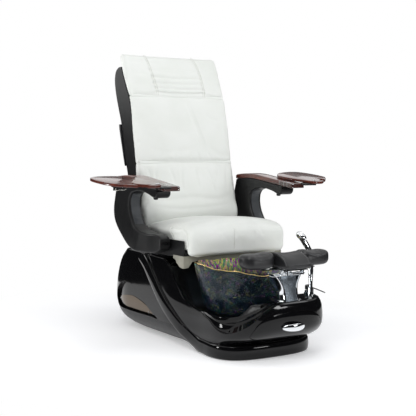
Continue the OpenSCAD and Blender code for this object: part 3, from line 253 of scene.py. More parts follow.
# ---------------------------------------------------------------- materials
class Mat:
    """A principled material with small helpers for its node tree."""

    def __init__(self, name, color, rough, metal=0.0, **sockets):
        self.m = bpy.data.materials.new(name)
        self.m.use_nodes = True
        self.t = self.m.node_tree
        self.b = self.t.nodes["Principled BSDF"]
        self.b.inputs["Base Color"].default_value = (*color, 1)
        self.b.inputs["Roughness"].default_value = rough
        self.b.inputs["Metallic"].default_value = metal
        for k, v in sockets.items():
            self.b.inputs[k.replace("_", " ")].default_value = v
        self.coords = self.node("ShaderNodeTexCoord").outputs["Object"]

    def node(self, kind, **props):
        n = self.t.nodes.new(kind)
        for k, v in props.items():
            setattr(n, k, v)
        return n

    def link(self, a, b):
        self.t.links.new(a, b)

    def feed(self, n, index, value):
        """Gives a node's input a number, a colour or another node's output."""
        if isinstance(value, (int, float)):
            n.inputs[index].default_value = value
        elif isinstance(value, tuple):
            n.inputs[index].default_value = (*value, 1)
        else:
            self.link(value, n.inputs[index])

    def scaled(self, scale):
        n = self.node("ShaderNodeMapping")
        n.inputs["Scale"].default_value = scale
        self.link(self.coords, n.inputs["Vector"])
        return n.outputs["Vector"]

    def noise(self, scale, detail=3, rough=0.55, vector=None, distort=0.0):
        n = self.node("ShaderNodeTexNoise")
        n.inputs["Scale"].default_value = scale
        n.inputs["Detail"].default_value = detail
        n.inputs["Roughness"].default_value = rough
        n.inputs["Distortion"].default_value = distort
        self.link(vector or self.coords, n.inputs["Vector"])
        return n.outputs["Fac"]

    def cells(self, scale, feature="F1", vector=None, output="Distance"):
        n = self.node("ShaderNodeTexVoronoi", feature=feature)
        n.inputs["Scale"].default_value = scale
        self.link(vector or self.coords, n.inputs["Vector"])
        return n.outputs[output]

    def ramp(self, fac, *stops):
        """Colour ramp; a stop's colour may be one number for grey."""
        n = self.node("ShaderNodeValToRGB")
        e = n.color_ramp.elements
        while len(e) < len(stops):
            e.new(0.5)
        for s, (at, color) in zip(e, stops):
            s.position = at
            s.color = (*color, 1) if isinstance(color, tuple) else (color, color, color, 1)
        self.link(fac, n.inputs["Fac"])
        return n.outputs["Color"]

    def math(self, op, *values):
        n = self.node("ShaderNodeMath", operation=op)
        for i, v in enumerate(values):
            self.feed(n, i, v)
        return n.outputs[0]

    def mix(self, fac, a, b):
        n = self.node("ShaderNodeMix", data_type="RGBA")
        for index, v in ((0, fac), (6, a), (7, b)):
            self.feed(n, index, v)
        return n.outputs[2]

    def vectors(self, op, a, b=None, output="Vector"):
        n = self.node("ShaderNodeVectorMath", operation=op)
        self.link(a, n.inputs[0])
        if isinstance(b, (int, float)):
            n.inputs["Scale"].default_value = b
        elif isinstance(b, tuple):
            n.inputs[1].default_value = b
        elif b is not None:
            self.link(b, n.inputs[1])
        return n.outputs[output]

    def span(self, value, kind, low, high):
        """Map range between low and high, which are its From or its To values."""
        n = self.node("ShaderNodeMapRange")
        n.inputs[kind + " Min"].default_value = low
        n.inputs[kind + " Max"].default_value = high
        self.link(value, n.inputs["Value"])
        return n

    def color(self, socket):
        self.link(socket, self.b.inputs["Base Color"])

    def rough(self, fac, low, high):
        self.link(self.span(fac, "To", low, high).outputs["Result"], self.b.inputs["Roughness"])

    def bump(self, *layers):
        """Layers of (height socket, depth in metres), stacked."""
        last = None
        for height, depth in layers:
            n = self.node("ShaderNodeBump")
            n.inputs["Strength"].default_value = 1
            n.inputs["Distance"].default_value = depth
            self.link(height, n.inputs["Height"])
            if last:
                self.link(last, n.inputs["Normal"])
            last = n.outputs["Normal"]
        self.link(last, self.b.inputs["Normal"])

    def glow(self, strength):
        n = self.node("ShaderNodeEmission")
        n.inputs["Color"].default_value = (1, 1, 1, 1)
        n.inputs["Strength"].default_value = strength
        return n.outputs[0]

    def surface(self, fac, a, b):
        """Shows shader a where fac is 0 and shader b where it is 1."""
        n = self.node("ShaderNodeMixShader")
        for index, v in enumerate((fac, a, b)):
            self.link(v, n.inputs[index])
        self.link(n.outputs[0], self.t.nodes["Material Output"].inputs["Surface"])


def leather(name, color, deep, rough, grain):
    """Smooth leather: faint colour drift, pebble grain and soft creases."""
    m = Mat(name, color, rough, Specular_IOR_Level=0.4)
    m.color(m.mix(m.ramp(m.noise(5, 4), (0.35, 0), (0.7, 1)), color, deep))
    m.rough(m.noise(60, 2), rough - 0.06, rough + 0.08)
    pebbles = m.math("SMOOTH_MIN", m.cells(520), 0.45, 0.2)
    m.bump((m.noise(9, 3, 0.6), 0.0012), (pebbles, grain), (m.noise(900, 2), grain * 0.4))
    return m.m


def gloss(name, color, rough, spec):
    """Lacquered moulding: deep colour under a clear coat, with the faintest orange peel."""
    m = Mat(name, color, rough, Coat_Weight=0.1, Coat_Roughness=0.03, Specular_IOR_Level=spec)
    m.rough(m.noise(30, 3), rough, rough + 0.05)
    m.bump((m.noise(55, 2, 0.4), 0.00005))
    return m.m


def satin(name, color, rough=0.4, grain=0.00006, spec=0.5, scale=1400):
    """Moulded plastic with a fine eroded texture."""
    m = Mat(name, color, rough, Specular_IOR_Level=spec)
    lighter = tuple(c * 1.35 for c in color)
    m.color(m.mix(m.ramp(m.noise(14, 4), (0.3, 0), (0.75, 1)), color, lighter))
    m.rough(m.noise(40, 3), rough - 0.05, rough + 0.07)
    m.bump((m.noise(scale, 2), grain))
    return m.m


def metal(name, color, rough, brushed=None, scratch=0.00002):
    """Metal with faint wipe marks; brushed gives the direction of its grain."""
    m = Mat(name, color, rough, metal=1.0)
    if brushed:
        line = m.noise(1, 3, 0.6, vector=m.scaled(brushed))
        m.rough(line, max(0.02, rough - 0.08), rough + 0.12)
        m.bump((line, scratch))
    else:
        m.rough(m.noise(18, 4), max(0.015, rough - 0.02), rough + 0.05)
        m.bump((m.noise(45, 2), scratch))
    return m.m


def timber(name, dark, mid, light, coat=1.0):
    """Lacquered mahogany, its grain running along Y."""
    m = Mat(name, mid, 0.28, Coat_Weight=coat, Coat_Roughness=0.035, Specular_IOR_Level=0.45)
    bands = m.noise(1.0, 5, 0.62, vector=m.scaled((46, 3.2, 46)), distort=1.6)
    pores = m.noise(1.0, 2, 0.7, vector=m.scaled((420, 16, 420)))
    tone = m.math("ADD", m.math("MULTIPLY", bands, 0.75), m.math("MULTIPLY", m.noise(5, 2), 0.25))
    wood = m.ramp(tone, (0.3, dark), (0.5, mid), (0.68, light))
    m.color(m.mix(m.ramp(pores, (0.32, 0.75), (0.42, 0)), wood, tuple(c * 0.4 for c in dark)))
    m.rough(bands, 0.22, 0.38)
    m.bump((pores, 0.00001))
    return m.m


def cloth(name, color, other):
    m = Mat(name, color, 0.85, Specular_IOR_Level=0.2, Sheen_Weight=0.3)
    m.color(m.mix(m.noise(16, 4), color, other))
    m.bump((m.noise(7, 3), 0.003), (m.noise(900, 1), 0.0002))
    return m.m


def glass_bowl(name):
    """Hammered dark glass, half clear, with iridescent flames inside its rim that glow by emission: painted
    light.
    """
    m = Mat(name, (0.008, 0.014, 0.03), 0.12, Coat_Weight=0.12, Coat_Roughness=0.03, Specular_IOR_Level=0.3)
    drift = m.node("ShaderNodeTexNoise")
    drift.inputs["Scale"].default_value = 9
    m.link(m.coords, drift.inputs["Vector"])
    warp = m.vectors("ADD", m.coords, m.vectors("SCALE", drift.outputs["Color"], 0.05))

    # flakes of colour between dark seams, dull in patches
    hue = m.node("ShaderNodeSeparateColor")
    m.link(m.cells(120, vector=warp, output="Color"), hue.inputs["Color"])
    spots = m.ramp(hue.outputs["Red"], (0.0, (0.02, 0.04, 0.09)), (0.24, (0.05, 0.34, 0.16)),
                   (0.40, (0.02, 0.07, 0.14)), (0.56, (0.38, 0.09, 0.36)), (0.70, (0.03, 0.16, 0.22)),
                   (0.86, (0.55, 0.48, 0.08)), (1.0, (0.02, 0.04, 0.08)))
    seams = m.ramp(m.cells(120, "DISTANCE_TO_EDGE", vector=warp), (0.02, 1), (0.10, 0))
    skin = m.mix(seams, (0.004, 0.010, 0.020), spots)
    dull = m.mix(m.ramp(m.noise(22, 3), (0.36, 0), (0.56, 1)), (0.004, 0.010, 0.022), skin)

    # flames on the inner face, from below the rim up; they also glow by emission, which is painted light, not
    # a lamp
    flames = m.ramp(m.noise(1, 4, 0.75, vector=m.scaled((62, 62, 17)), distort=0.9), (0.36,
                                                        (0.02, 0.008, 0.04)), (0.42,
                                                        (0.42, 0.05, 0.40)), (0.455,
                                                        (0.02, 0.01, 0.04)), (0.49,
                                                        (0.12, 0.50, 0.16)), (0.515,
                                                        (0.02, 0.012, 0.05)), (0.55,
                                                        (1.0, 0.86, 0.16)), (0.575,
                                                        (0.03, 0.012, 0.05)), (0.61,
                                                        (0.95, 0.30, 0.55)), (0.66, (0.03, 0.015, 0.06)))
    outward = m.vectors("SUBTRACT", m.coords, (0, -0.45, 0.35))
    facing = m.vectors("DOT_PRODUCT", m.node("ShaderNodeNewGeometry").outputs["Normal"], outward, "Value")
    parts = m.node("ShaderNodeSeparateXYZ")
    m.link(m.coords, parts.inputs["Vector"])
    up = m.span(parts.outputs["Z"], "From", 0.335, 0.385).outputs["Result"]
    flames_and_glow = m.math("MULTIPLY", up, m.math("LESS_THAN", facing, 0.0))
    m.color(m.mix(flames_and_glow, dull, flames))
    # painted light: the flames on the inner face glow by emission
    m.link(flames, m.b.inputs["Emission Color"])
    m.link(m.math("MULTIPLY", flames_and_glow, 0.55), m.b.inputs["Emission Strength"])

    m.bump((m.cells(95, "SMOOTH_F1", vector=warp), 0.0014), (m.noise(120, 2), 0.0003))
    clear = m.node("ShaderNodeBsdfTransparent")
    clear.inputs["Color"].default_value = (0.66, 0.76, 0.84, 1)
    m.surface(m.math("MULTIPLY_ADD", flames_and_glow, 0.4, 0.57), clear.outputs[0], m.b.outputs[0])
    return m.m


BLACK = gloss("gloss_black", (0.003, 0.003, 0.0034), 0.05, 0.24)
SKIRT = satin("skirt_black", (0.009, 0.009, 0.010), 0.38, spec=0.25)
LINER = satin("liner_black", (0.008, 0.008, 0.0085), 0.3, spec=0.32)
PLASTIC = satin("satin_black", (0.0080, 0.0082, 0.0085), 0.34, spec=0.28)
BRONZE = metal("bronze_mirror", (0.13, 0.10, 0.072), 0.14, brushed=(12, 90, 90))
CHROME = metal("chrome_trim", (0.80, 0.82, 0.84), 0.05)
DARK_CHROME = metal("dark_chrome", (0.10, 0.10, 0.105), 0.12)
BRUSHED = metal("brushed_plate", (0.36, 0.41, 0.46), 0.22, brushed=(150, 150, 5), scratch=0.000006)
STEEL = metal("bright_steel", (0.50, 0.51, 0.53), 0.22, brushed=(40, 700, 700))
FRAME = satin("frame_steel", (0.03, 0.032, 0.036), 0.45, 0.0001)
WHITE = leather("white_leather", (0.80, 0.815, 0.775), (0.755, 0.775, 0.725), 0.42, 0.00012)
DARK_LEATHER = leather("black_leather", (0.012, 0.012, 0.013), (0.016, 0.017, 0.018), 0.34, 0.0001)
STITCH = cloth("thread", (0.60, 0.60, 0.54), (0.52, 0.52, 0.47))
WOOD = timber("mahogany", (0.030, 0.007, 0.005), (0.095, 0.018, 0.010), (0.185, 0.042, 0.022), 0.7)
DARK_WOOD = timber("mahogany_dark", (0.018, 0.005, 0.004), (0.045, 0.012, 0.009), (0.085, 0.024, 0.016))
# the apron's grey is partly the cloth's own colour and partly painted shade from under the seat
CLOTH = cloth("grey_cloth", (0.30, 0.29, 0.235), (0.24, 0.235, 0.19))
GLASS = glass_bowl("bowl_glass")
GOLD = metal("gold_lustre", (0.78, 0.58, 0.25), 0.18)
RUBBER = satin("roller_rubber", (0.24, 0.25, 0.23), 0.7)
COPPER = metal("copper_pipe", (0.62, 0.30, 0.16), 0.25)
PIPE = satin("drain_plastic", (0.72, 0.72, 0.70), 0.3)
MOTOR = satin("motor_plastic", (0.045, 0.048, 0.052), 0.4)
RECESS_GREY = satin("recess_grey", (0.050, 0.054, 0.058), 0.42, spec=0.3)

slot_looks = {
    "gloss_black": BLACK, "satin_black": PLASTIC, "skirt_black": SKIRT, "bronze_mirror": BRONZE,
    "screw_steel": STEEL, "chassis_steel": FRAME, "bowl_glass": GLASS, "chrome_trim": CHROME,
    "dark_chrome": DARK_CHROME, "drain_plastic": PIPE, "motor_plastic": MOTOR, "rotor_steel": STEEL,
    "impeller_plastic": PIPE, "black_leather": DARK_LEATHER, "white_leather": WHITE, "copper_pipe": COPPER,
    "rail_steel": STEEL, "frame_steel": FRAME, "grey_cloth": CLOTH, "mahogany": WOOD,
    "mahogany_dark": DARK_WOOD, "roller_rubber": RUBBER}
for part in frame["record"]["subparts"]:
    o = nodes[part["node"]]
    o.data.materials.clear()
    o.data.materials.append(slot_looks[part["material_slot"]])
    shade(o, 32)

# ---------------------------------------------------------------- base
# lengths are in mm; outlines are rows that start with their z or y
POD_TOP, DECK_TOP, POD_W, PROW_W = 440, 285, 297, 275
REAR, NOSE, WALL, SKIRT_TOP = 580, 860, 8, 105
REAR_START, FRONT_START, REAR_POWER, FRONT_POWER = 250, -520, 2.5, 3.4
RECESS, PLATE_BACK, PLATE_THICK = 22, 18.6, 3
rear_y = [[0, REAR - 130], [50, REAR - 58], [SKIRT_TOP, REAR - 18], [170, REAR], [250, REAR - 14],
          [324, REAR - 52], [390, REAR - 112], [POD_TOP, REAR - 195]]
rear_w = [[0, POD_W - 125], [30, POD_W - 70], [62, POD_W - 32], [SKIRT_TOP, POD_W - 9], [170, POD_W],
          [300, POD_W - 1], [390, POD_W - 7], [POD_TOP, POD_W - 20]]
nose_y = [[0, NOSE - 168], [70, NOSE - 158], [110, NOSE - 60], [150, NOSE - 12], [190, NOSE - 1],
          [235, NOSE - 1], [262, NOSE - 3], [DECK_TOP, NOSE - 8]]
prow_w = [[0, PROW_W - 14], [70, PROW_W - 12], [110, PROW_W - 3], [170, PROW_W], [230, PROW_W - 4],
          [255, PROW_W - 10], [DECK_TOP, PROW_W - 30]]
band_mid = [[-520, 37], [-452, 44], [-328, 97], [-240, 155], [-130, 240], [-60, 305], [30, 385],
            [120, POD_TOP - 10]]
lip_z = [[-760, DECK_TOP - 3], [-700, 264], [-660, 230], [-610, 208], [-560, 200], [-490, 204], [-420, 217],
         [-349, 245], [-290, 290], [-240, 350], [-200, 404], [-140, POD_TOP - WALL - 0.3]]
BAND_W, BUMPER_NOSE = 35.5, 716


def half_w(y, z):
    return lerp(curve(prow_w, z), curve(rear_w, z), ease((y + 500) / 350))


def along_y(s, z, inset=0.0):
    """Y of a station of the base: 0 to 1 along its side, beyond that round the nose or the tail."""
    if s < 0:
        reach = curve(nose_y, z) - inset + FRONT_START
        return FRONT_START - reach * spow(sin(radians(-90 * s)), 2 / FRONT_POWER)
    if s > 1:
        reach = curve(rear_y, z) - inset - REAR_START
        return REAR_START + reach * spow(sin(radians(90 * s - 90)), 2 / REAR_POWER)
    return lerp(FRONT_START, REAR_START, s)


def across(s):
    """Share of the base's half width at a station."""
    if s < 0:
        return spow(cos(radians(90 * s)), 2 / FRONT_POWER)
    return spow(cos(radians(90 * s - 90)), 2 / REAR_POWER) if s > 1 else 1


def shell_point(side, s, z, inset=0.0):
    y = along_y(s, z, inset)
    return Vector((side * (half_w(y, z) - inset) * across(s), y, z))


def station(y):
    return (y - FRONT_START) / (REAR_START - FRONT_START)


def side_x(y, z, inset):
    x = half_w(y, z) - inset
    if y <= REAR_START:
        return x
    return x * rounded((y - REAR_START) / (curve(rear_y, z) - inset - REAR_START), REAR_POWER)


SWEEP_START = station(-490)
swept_edge = [[-1, DECK_TOP - 3], [-0.93, 280], [-0.88, 268], [-0.8, 250], [-0.69, 222], [-0.58, 190],
              [-0.46, 165], [-0.34, 145], [-0.22, 133], [-0.12, 140], [-0.05, 160], [0, 192],
              [SWEEP_START, 208]]
swept_lip = [[-0.88, -58, -760, 269], [-0.8, -68, -752, 260], [-0.69, -90, -745, 249],
             [-0.58, -120, -735, 236],
             [-0.46, -155, -720, 221], [-0.34, -190, -700, 210], [-0.22, -222, -670, 203],
             [-0.12, -247, -630, 201], [-0.05, -258, -580, 203], [0, -262, -530, 207],
             [SWEEP_START, -265, -490, 211]]


def lip_at(s):
    return Vector([curve(swept_lip, s, column) for column in (1, 2, 3)])


def rear_stations(y, n=44):
    """Stations from y back to the tail."""
    return [station(v) for v in spread(y, REAR_START, n)] + [1 + i / 48 for i in range(1, 49)]


def wall_ring(side, s, low, high, lip=None, deep=None):
    """Outer face up, rounded or swept edge, inner face down."""
    ring = [shell_point(side, s, z) for z in spread(low, high, 16)]
    top = high
    if lip is None:
        ring += [shell_point(side, s, high + 1.2 * sin(radians(a)), WALL * (0.5 - 0.5 * cos(radians(a))))
                 for a in (45, 90, 135)]
    else:
        edge = ring[-1]
        out = (edge - shell_point(side, s, high, 20)).normalized()
        span = (lip - edge).length
        for t in (0.06, 0.16, 0.3, 0.44, 0.54, 0.6, 0.66, 0.76, 0.88, 1.0):
            if t < 0.6:
                dip = -0.16 * span * sin(pi * (t / 0.6))
            else:
                dip = -0.06 * span * sin(pi * (t - 0.6) / 0.4)
            ring.append(edge.lerp(lip, t) + Vector((0, 0, dip)) + out * dip * 0.1)
        ring.append(lip - Vector((0, 0, 5)))
        top = high - 4
    for z in reversed(spread(low, top, 8)):
        ring.append(shell_point(side, s, z, WALL + (deep(along_y(s, z), z) if deep else 0)))
    return ring


def turned_rings(first, half, other):
    """Rings down one side of the base and back up the other."""
    return ([wall_ring(first, *w) for w in half]
            + [wall_ring(-first, *other[i]) for i in range(len(other) - 2, -1, -1)])


def front_stations(side):
    out = []
    for s in [station(y) for y in spread(100, FRONT_START, 44)] + [-i / 60 for i in range(1, 61)]:
        y = along_y(s, 250)
        split = curve(band_mid, y) + 1
        swept = side < 0 and s < SWEEP_START
        low = max(0, split * (y + 500) / 48) if y < -452 else split
        high = max(curve(swept_edge, s) if swept else curve(lip_z, y), split + 6)
        out.append((s, low, high, lip_at(s) if swept and s > -0.9 else None))
    return out


def with_lips(rings_in):
    """Gives every ring the same number of points."""
    n = max(len(r) for r in rings_in)
    out = []
    for r in rings_in:
        r = list(r)
        while len(r) < n:
            r.insert(18, r[17].lerp(r[18], 0.5))
        out.append(r)
    return out


front = loft("base_front_shell", with_lips(turned_rings(1, front_stations(1), front_stations(-1))), 50)

# hatch opening and panel
HATCH_W = 396
hatch_low = [[-198, 128], [-170, 110], [-130, 101], [-60, 98], [60, 98], [130, 101], [170, 110], [198, 128]]
hatch_high = [[-198, 150], [-180, 190], [-140, 218], [-80, 234], [0, 238], [80, 234], [140, 218],
              [180, 190], [198, 150]]


def hatch_rim(grow):
    """The hatch's outline, grown outwards, as (x, z) points."""
    wider = 1 + 2 * grow / HATCH_W
    xs = spread(-HATCH_W / 2, HATCH_W / 2, 60)
    return ([(x * wider, curve(hatch_low, x) - grow) for x in xs]
            + [(x * wider, curve(hatch_high, x) + grow) for x in reversed(xs)])


def nose_surface(x, z, inset=0.0):
    reach = curve(nose_y, z) - inset + FRONT_START
    return FRONT_START - reach * rounded(abs(x) / (curve(prow_w, z) - inset), FRONT_POWER)


prism = loft("cutter", [[Vector((x, y, z)) for x, z in hatch_rim(0.2)] for y in (-1000, -700)])
cut(front, prism)
shade(front, 50)
put(front, "base", BLACK, "gloss_black", "front_body")

panel_rings = []
for x in spread(-HATCH_W / 2, HATCH_W / 2, 66):
    a, b = curve(hatch_low, x) + 0.9, curve(hatch_high, x) - 0.9
    px = x * (1 - 1.6 / HATCH_W)
    outer = [Vector((px, nose_surface(px, z, 1.1 if j in (0, 14) else 0.0), z))
             for j, z in enumerate(spread(a, b, 14))]
    panel_rings.append(outer + [Vector((px, nose_surface(px, z, 5), z)) for z in spread(b, a, 6)])
put(loft("hatch_cover", panel_rings, 50), "hatch", BLACK, "gloss_black", "hatch_panel")

# hatch handle: a bowed oval with a hollowed back, on two posts
HANDLE_Z = 168
rings = []
for u in spread(-1, 1, 36):
    half = 17 * sqrt(max(0.0, 1 - abs(u) ** 2.3)) + 0.4
    y = -NOSE - 24 + 22 * u * u
    rings.append([Vector((64 * u, y + 3.6 * sin(a) * (1 if sin(a) > 0 else 1.5) * (1 - 0.5 * abs(u)),
                          HANDLE_Z + half * cos(a) + 1.5 * (1 - u * u))) for a in around(28)])
grip = loft("handle_bow", rings, 60)
posts = [tube("post", [(s * 46, -NOSE - 12, HANDLE_Z), (s * 46, -NOSE + 9, HANDLE_Z)], 5.5) for s in (-1, 1)]
put(join("hatch_pull", [grip] + posts), "hatch", CHROME, "chrome_trim", "hatch_handle")


# rear pod with its pockets, and the skirt below it
def pocket(y, z):
    """How deep the pod's side is recessed."""
    return RECESS * ease((y + 150) / 40) * ease((520 - y) / 40) * ease((310 - z) / 30)


def pod_wall(s):
    y = along_y(s, SKIRT_TOP)
    top = max(curve(band_mid, y) - 1, SKIRT_TOP + 8) if y < 120 else POD_TOP - 0.5
    return s, SKIRT_TOP, top, None, pocket


pocket_low = [[-80, 107], [-20, 110], [70, 108], [250, 108], [390, 110], [440, 122]]
pocket_high = [[-80, 116], [0, 152], [100, 215], [200, 258], [260, 268], [320, 256], [400, 206], [440, 150]]
plate_low = [[-40, 118], [60, 115], [150, 113], [292, 120], [400, 150]]
plate_high = [[-40, 127], [89, 168], [180, 187], [228, 190], [328, 179], [400, 160]]


def slab(name, side, low, high, near, far, dome=0.0):
    """Plate that follows the pod's side between two outlines, from one depth to another."""
    rows = 14
    slices = []
    for y in spread(low[0][0], low[-1][0], 56):
        heights = spread(curve(low, y), curve(high, y), rows)
        deep = [Vector((side * side_x(y, z, far), y, z)) for z in heights]
        face = [Vector((side * side_x(y, z, near + dome * (2 * j / rows - 1) ** 2), y, z))
                for j, z in reversed(list(enumerate(heights)))]
        slices.append(deep + face)
    return loft(name, slices, 50)


pod_half = [pod_wall(s) for s in rear_stations(-300)]
pod = loft("base_rear_shell", turned_rings(-1, pod_half, pod_half), 50)
for side in (-1, 1):
    cut(pod, slab("cutter", side, pocket_low, pocket_high, -20, RECESS - 3.5))
roof = [shell_point(1, s, POD_TOP, 3) for s in rear_stations(-140, 8)]
outline = roof + [Vector((-p.x, p.y, p.z)) for p in reversed(roof[:-1])]
lid = loft("lid", [[Vector((p.x, p.y, z)) for p in outline] for z in (POD_TOP - WALL, POD_TOP)], 50)
put(shade(join("base_rear_shell", [pod, lid]), 50), "base", BLACK, "gloss_black", "base_pod")

skirt_half = [(s, 0, min(SKIRT_TOP - 0.3, curve(band_mid, along_y(s, SKIRT_TOP)) - 1))
              for s in rear_stations(-440)]
skirt = loft("base_skirt", turned_rings(-1, skirt_half, skirt_half), 50)
put(skirt, "base", SKIRT, "skirt_black", "rear_skirt")

for side, word in ((-1, "left"), (1, "right")):
    plate = slab("mirror_plate_" + word, side, plate_low, plate_high,
                 PLATE_BACK - PLATE_THICK, PLATE_BACK, 0.6)
    put(plate, "base", BRONZE, "bronze_mirror", "side_mirror_" + word)
screw_profile = [(0.2, 0), (5, 0.2), (4.6, 2.2), (2.4, 3.4), (2.2, 2.0), (0.2, 1.9)]
screws = []
for side in (-1, 1):
    for y, z in ((388, 155), (-14, 124), (30, 128)):
        x = side_x(y, z, PLATE_BACK - PLATE_THICK) - 1
        place = Matrix.Translation((side * x, y, z)) @ Matrix.Rotation(side * pi / 2, 4, "Y")
        screws.append(turned("screw", screw_profile, place, 24))
put(join("plate_screws", screws), "base", STEEL, "screw_steel", "panel_screws")

# deck
low = DECK_TOP - WALL / 2
deck_out = [shell_point(1, -3 / 14 - i * (11 / 14) / 60, low, WALL - 2) for i in range(61)]
deck_out += [shell_point(-1, s, low, WALL - 2) for s in (-0.98, -0.96, -0.94, -0.92, -0.9)]
deck_out += catmull([(-68, -780, low), (-64, -768, low), (-50, -748, low), (-30, -722, low),
                     (0, deck_out[0].y - 8, low), (30, deck_out[0].y, low)], 5)
deck_faces = [[Vector((p.x, p.y, z)) for p in deck_out] for z in (DECK_TOP - WALL, DECK_TOP)]
deck = loft("front_deck", deck_faces, 50)
MIXER_AT, SHOWER_AT = (212, -700), (190, -746)
for x, y in (MIXER_AT, SHOWER_AT):
    cut(deck, turned("cutter", [(15.2, 240), (15.2, 300)], Matrix.Translation((x, y, 0)), 32))
put(bevelled(deck, 2.2, 40), "base", BLACK, "gloss_black", "deck_panel")


# sweeping band
def band_line():
    side = []
    for y in spread(110, FRONT_START, 64):
        z = curve(band_mid, y)
        side.append(Vector((-half_w(y, z) + 2, y, max(z, BAND_W))))
    width, bend = half_w(FRONT_START, BAND_W), 2 / 3.1
    nose = []
    for i in range(1, 80):
        a = pi + pi * i / 80
        nose.append(Vector((width * spow(cos(a), bend),
                            FRONT_START + (BUMPER_NOSE + FRONT_START) * spow(sin(a), bend), BAND_W)))
    return side + nose + [Vector((-p.x, p.y, p.z)) for p in reversed(side)], width


band_pts, band_half = band_line()
half_section = [(-1, -10), (-1, -2), (-0.97, 5), (-0.9, 9.5), (-0.78, 12.3), (-0.55, 14), (-0.3, 15.2),
                (0, 15.7)]
section = half_section + [(-s, d) for s, d in reversed(half_section[:-1])]
rings = []
for i, p in enumerate(band_pts):
    if p.y > FRONT_START + 1:
        out = Vector((1 if p.x > 0 else -1, 0, 0))
    else:
        ahead = (p.y - FRONT_START) / (BUMPER_NOSE + FRONT_START) ** 2
        out = Vector((p.x / band_half**2, ahead, 0)).normalized()
    t = (band_pts[min(len(band_pts) - 1, i + 1)] - band_pts[max(0, i - 1)]).normalized()
    wide = out.cross(t).normalized()
    rings.append([p + wide * s * BAND_W + out * d for s, d in section])
for r in rings:
    for p in r:
        p.z = clamp(p.z, 0, POD_TOP)
band = loft("sweep_band", rings, 50)
put(band, "base", BLACK, "gloss_black", "sweep_rim")

# liner of the well
LINER_FLOOR = 176
liner_mid = [[-698, 258], [-680, 222], [-650, LINER_FLOOR + 10], [-590, LINER_FLOOR],
             [-310, LINER_FLOOR], [-265, 200], [-228, 300], [-200, 392]]
liner_side = [[-740, 92, 240], [-725, 128, 226], [-700, 176, 206], [-670, 212, 196], [-630, 238, 195],
              [-580, 250, 197], [-520, 255, 202], [-460, 256, 207], [-420, 256.5, 212]]


def liner_point(u, v, drop):
    """Point of the liner, u across from -1 to 1 and v from front to rear, drop below its surface."""
    y = lerp(lerp(-738, -696, clamp((u + 1) / 0.9)), -202, v)
    if u < 0 and y < -420:
        edge, rim = curve(liner_side, y), curve(liner_side, y, 2)
    else:
        z = curve(lip_z, y)
        edge, rim = half_w(y, z) - WALL - 1, z - 5
        if y < FRONT_START:
            edge *= rounded((FRONT_START - y) / (curve(nose_y, z) - WALL - 1 + FRONT_START), FRONT_POWER)
    flat = min(170, edge - 60)
    height = lerp(curve(liner_mid, y), rim, ease((abs(u) * edge - flat) / (edge - flat)))
    return Vector((u * edge, y, height - drop))


rings = []
across_well = [2 * i / 48 - 1 for i in range(49)]
for v in reversed(spread(0, 1, 60)):
    rings.append([liner_point(u, v, 6) for u in across_well]
                 + [liner_point(u, v, 0) for u in reversed(across_well)])
liner = loft("well_tub", rings, 50)
DRAIN_AT, JET_AT = (38, -388), (-42, -490)
for x, y in (DRAIN_AT, JET_AT):
    cut(liner, turned("cutter", [(34, 136), (34, 216)], Matrix.Translation((x, y, 0)), 48))
put(shade(liner, 50), "base", LINER, "skirt_black", "well_liner")

# ---------------------------------------------------------------- bowl
BOWL_Y, BOWL_FLOOR, RIM_Z = -450, LINER_FLOOR + 0.2, 434
bowl_profile = [[0, 168, 138], [22, 192, 162], [80, 212, 182], [150, 231, 199], [205, 246, 212],
                [258, 258, 222]]


def rim_height(a):
    """The rim is lowest at the front and waves six times round the bowl, with a finer ripple on top."""
    front = max(0.0, -sin(radians(a - 6)))
    return (RIM_Z - LINER_FLOOR - 44 * front**1.4 - 6 + 6 * cos(radians(6 * a + 40))
            + 1.6 * cos(radians(17 * a)))


def bowl_point(a, h, inset, flare):
    """Point at angle a and height h; flare is how much of the rim's wave it takes."""
    wave = 5 * cos(radians(6 * a + 40)) * flare
    wx = curve(bowl_profile, h) - inset + wave
    wy = curve(bowl_profile, h, 2) - inset + wave
    return Vector((wx * cos(radians(a)), BOWL_Y + wy * sin(radians(a)), BOWL_FLOOR + h))


def shrunk(ring, share, z):
    return [Vector((p.x * share, BOWL_Y + (p.y - BOWL_Y) * share, z)) for p in ring]


GLASS_TOP = BOWL_FLOOR + 10
bowl_turn = [360 * i / 144 for i in range(144)]
rings = []
for t in spread(0, 1, 25):
    rings.append([bowl_point(a, 2 + (rim_height(a) - 4) * t**1.1, 0 if t else 3, t**6) for a in bowl_turn])
for q in (30, 60, 90, 120, 150):
    rings.append([bowl_point(a, rim_height(a) - 2 + 2 * sin(radians(q)), 4 - 4 * cos(radians(q)), 1)
                  for a in bowl_turn])
for t in reversed(spread(0, 1, 22)):
    rings.append([bowl_point(a, 12 + (rim_height(a) - 14) * t, 8, t**6) for a in bowl_turn])
rings = [shrunk(rings[0], 0.9, BOWL_FLOOR)] + rings + [shrunk(rings[-1], 0.8, GLASS_TOP)]
tub = loft("foot_bowl", rings, 60)
for x, y in (DRAIN_AT, JET_AT):
    cut(tub, turned("cutter", [(23.8, 166), (23.8, 196)], Matrix.Translation((x, y, 0)), 48))
put(shade(tub, 60), "base", GLASS, "bowl_glass", "bowl")
bead = [bowl_point(a, rim_height(a) + 0.3, 4, 1) for a in range(0, 360, 2)]
rings = []
for i, p in enumerate(bead):
    t = (bead[(i + 1) % 180] - bead[i - 1]).normalized()
    side = t.cross(Vector((0, 0, 1))).normalized()
    up = side.cross(t)
    r = 2.3 + 0.7 * sin(i * 1.9) * sin(i * 0.7)
    rings.append([p + (side * cos(a) + up * sin(a)) * r for a in around(10)])
put(loft("gilded_rim", rings, 80, loop=True), "base", GOLD, "bowl_glass")

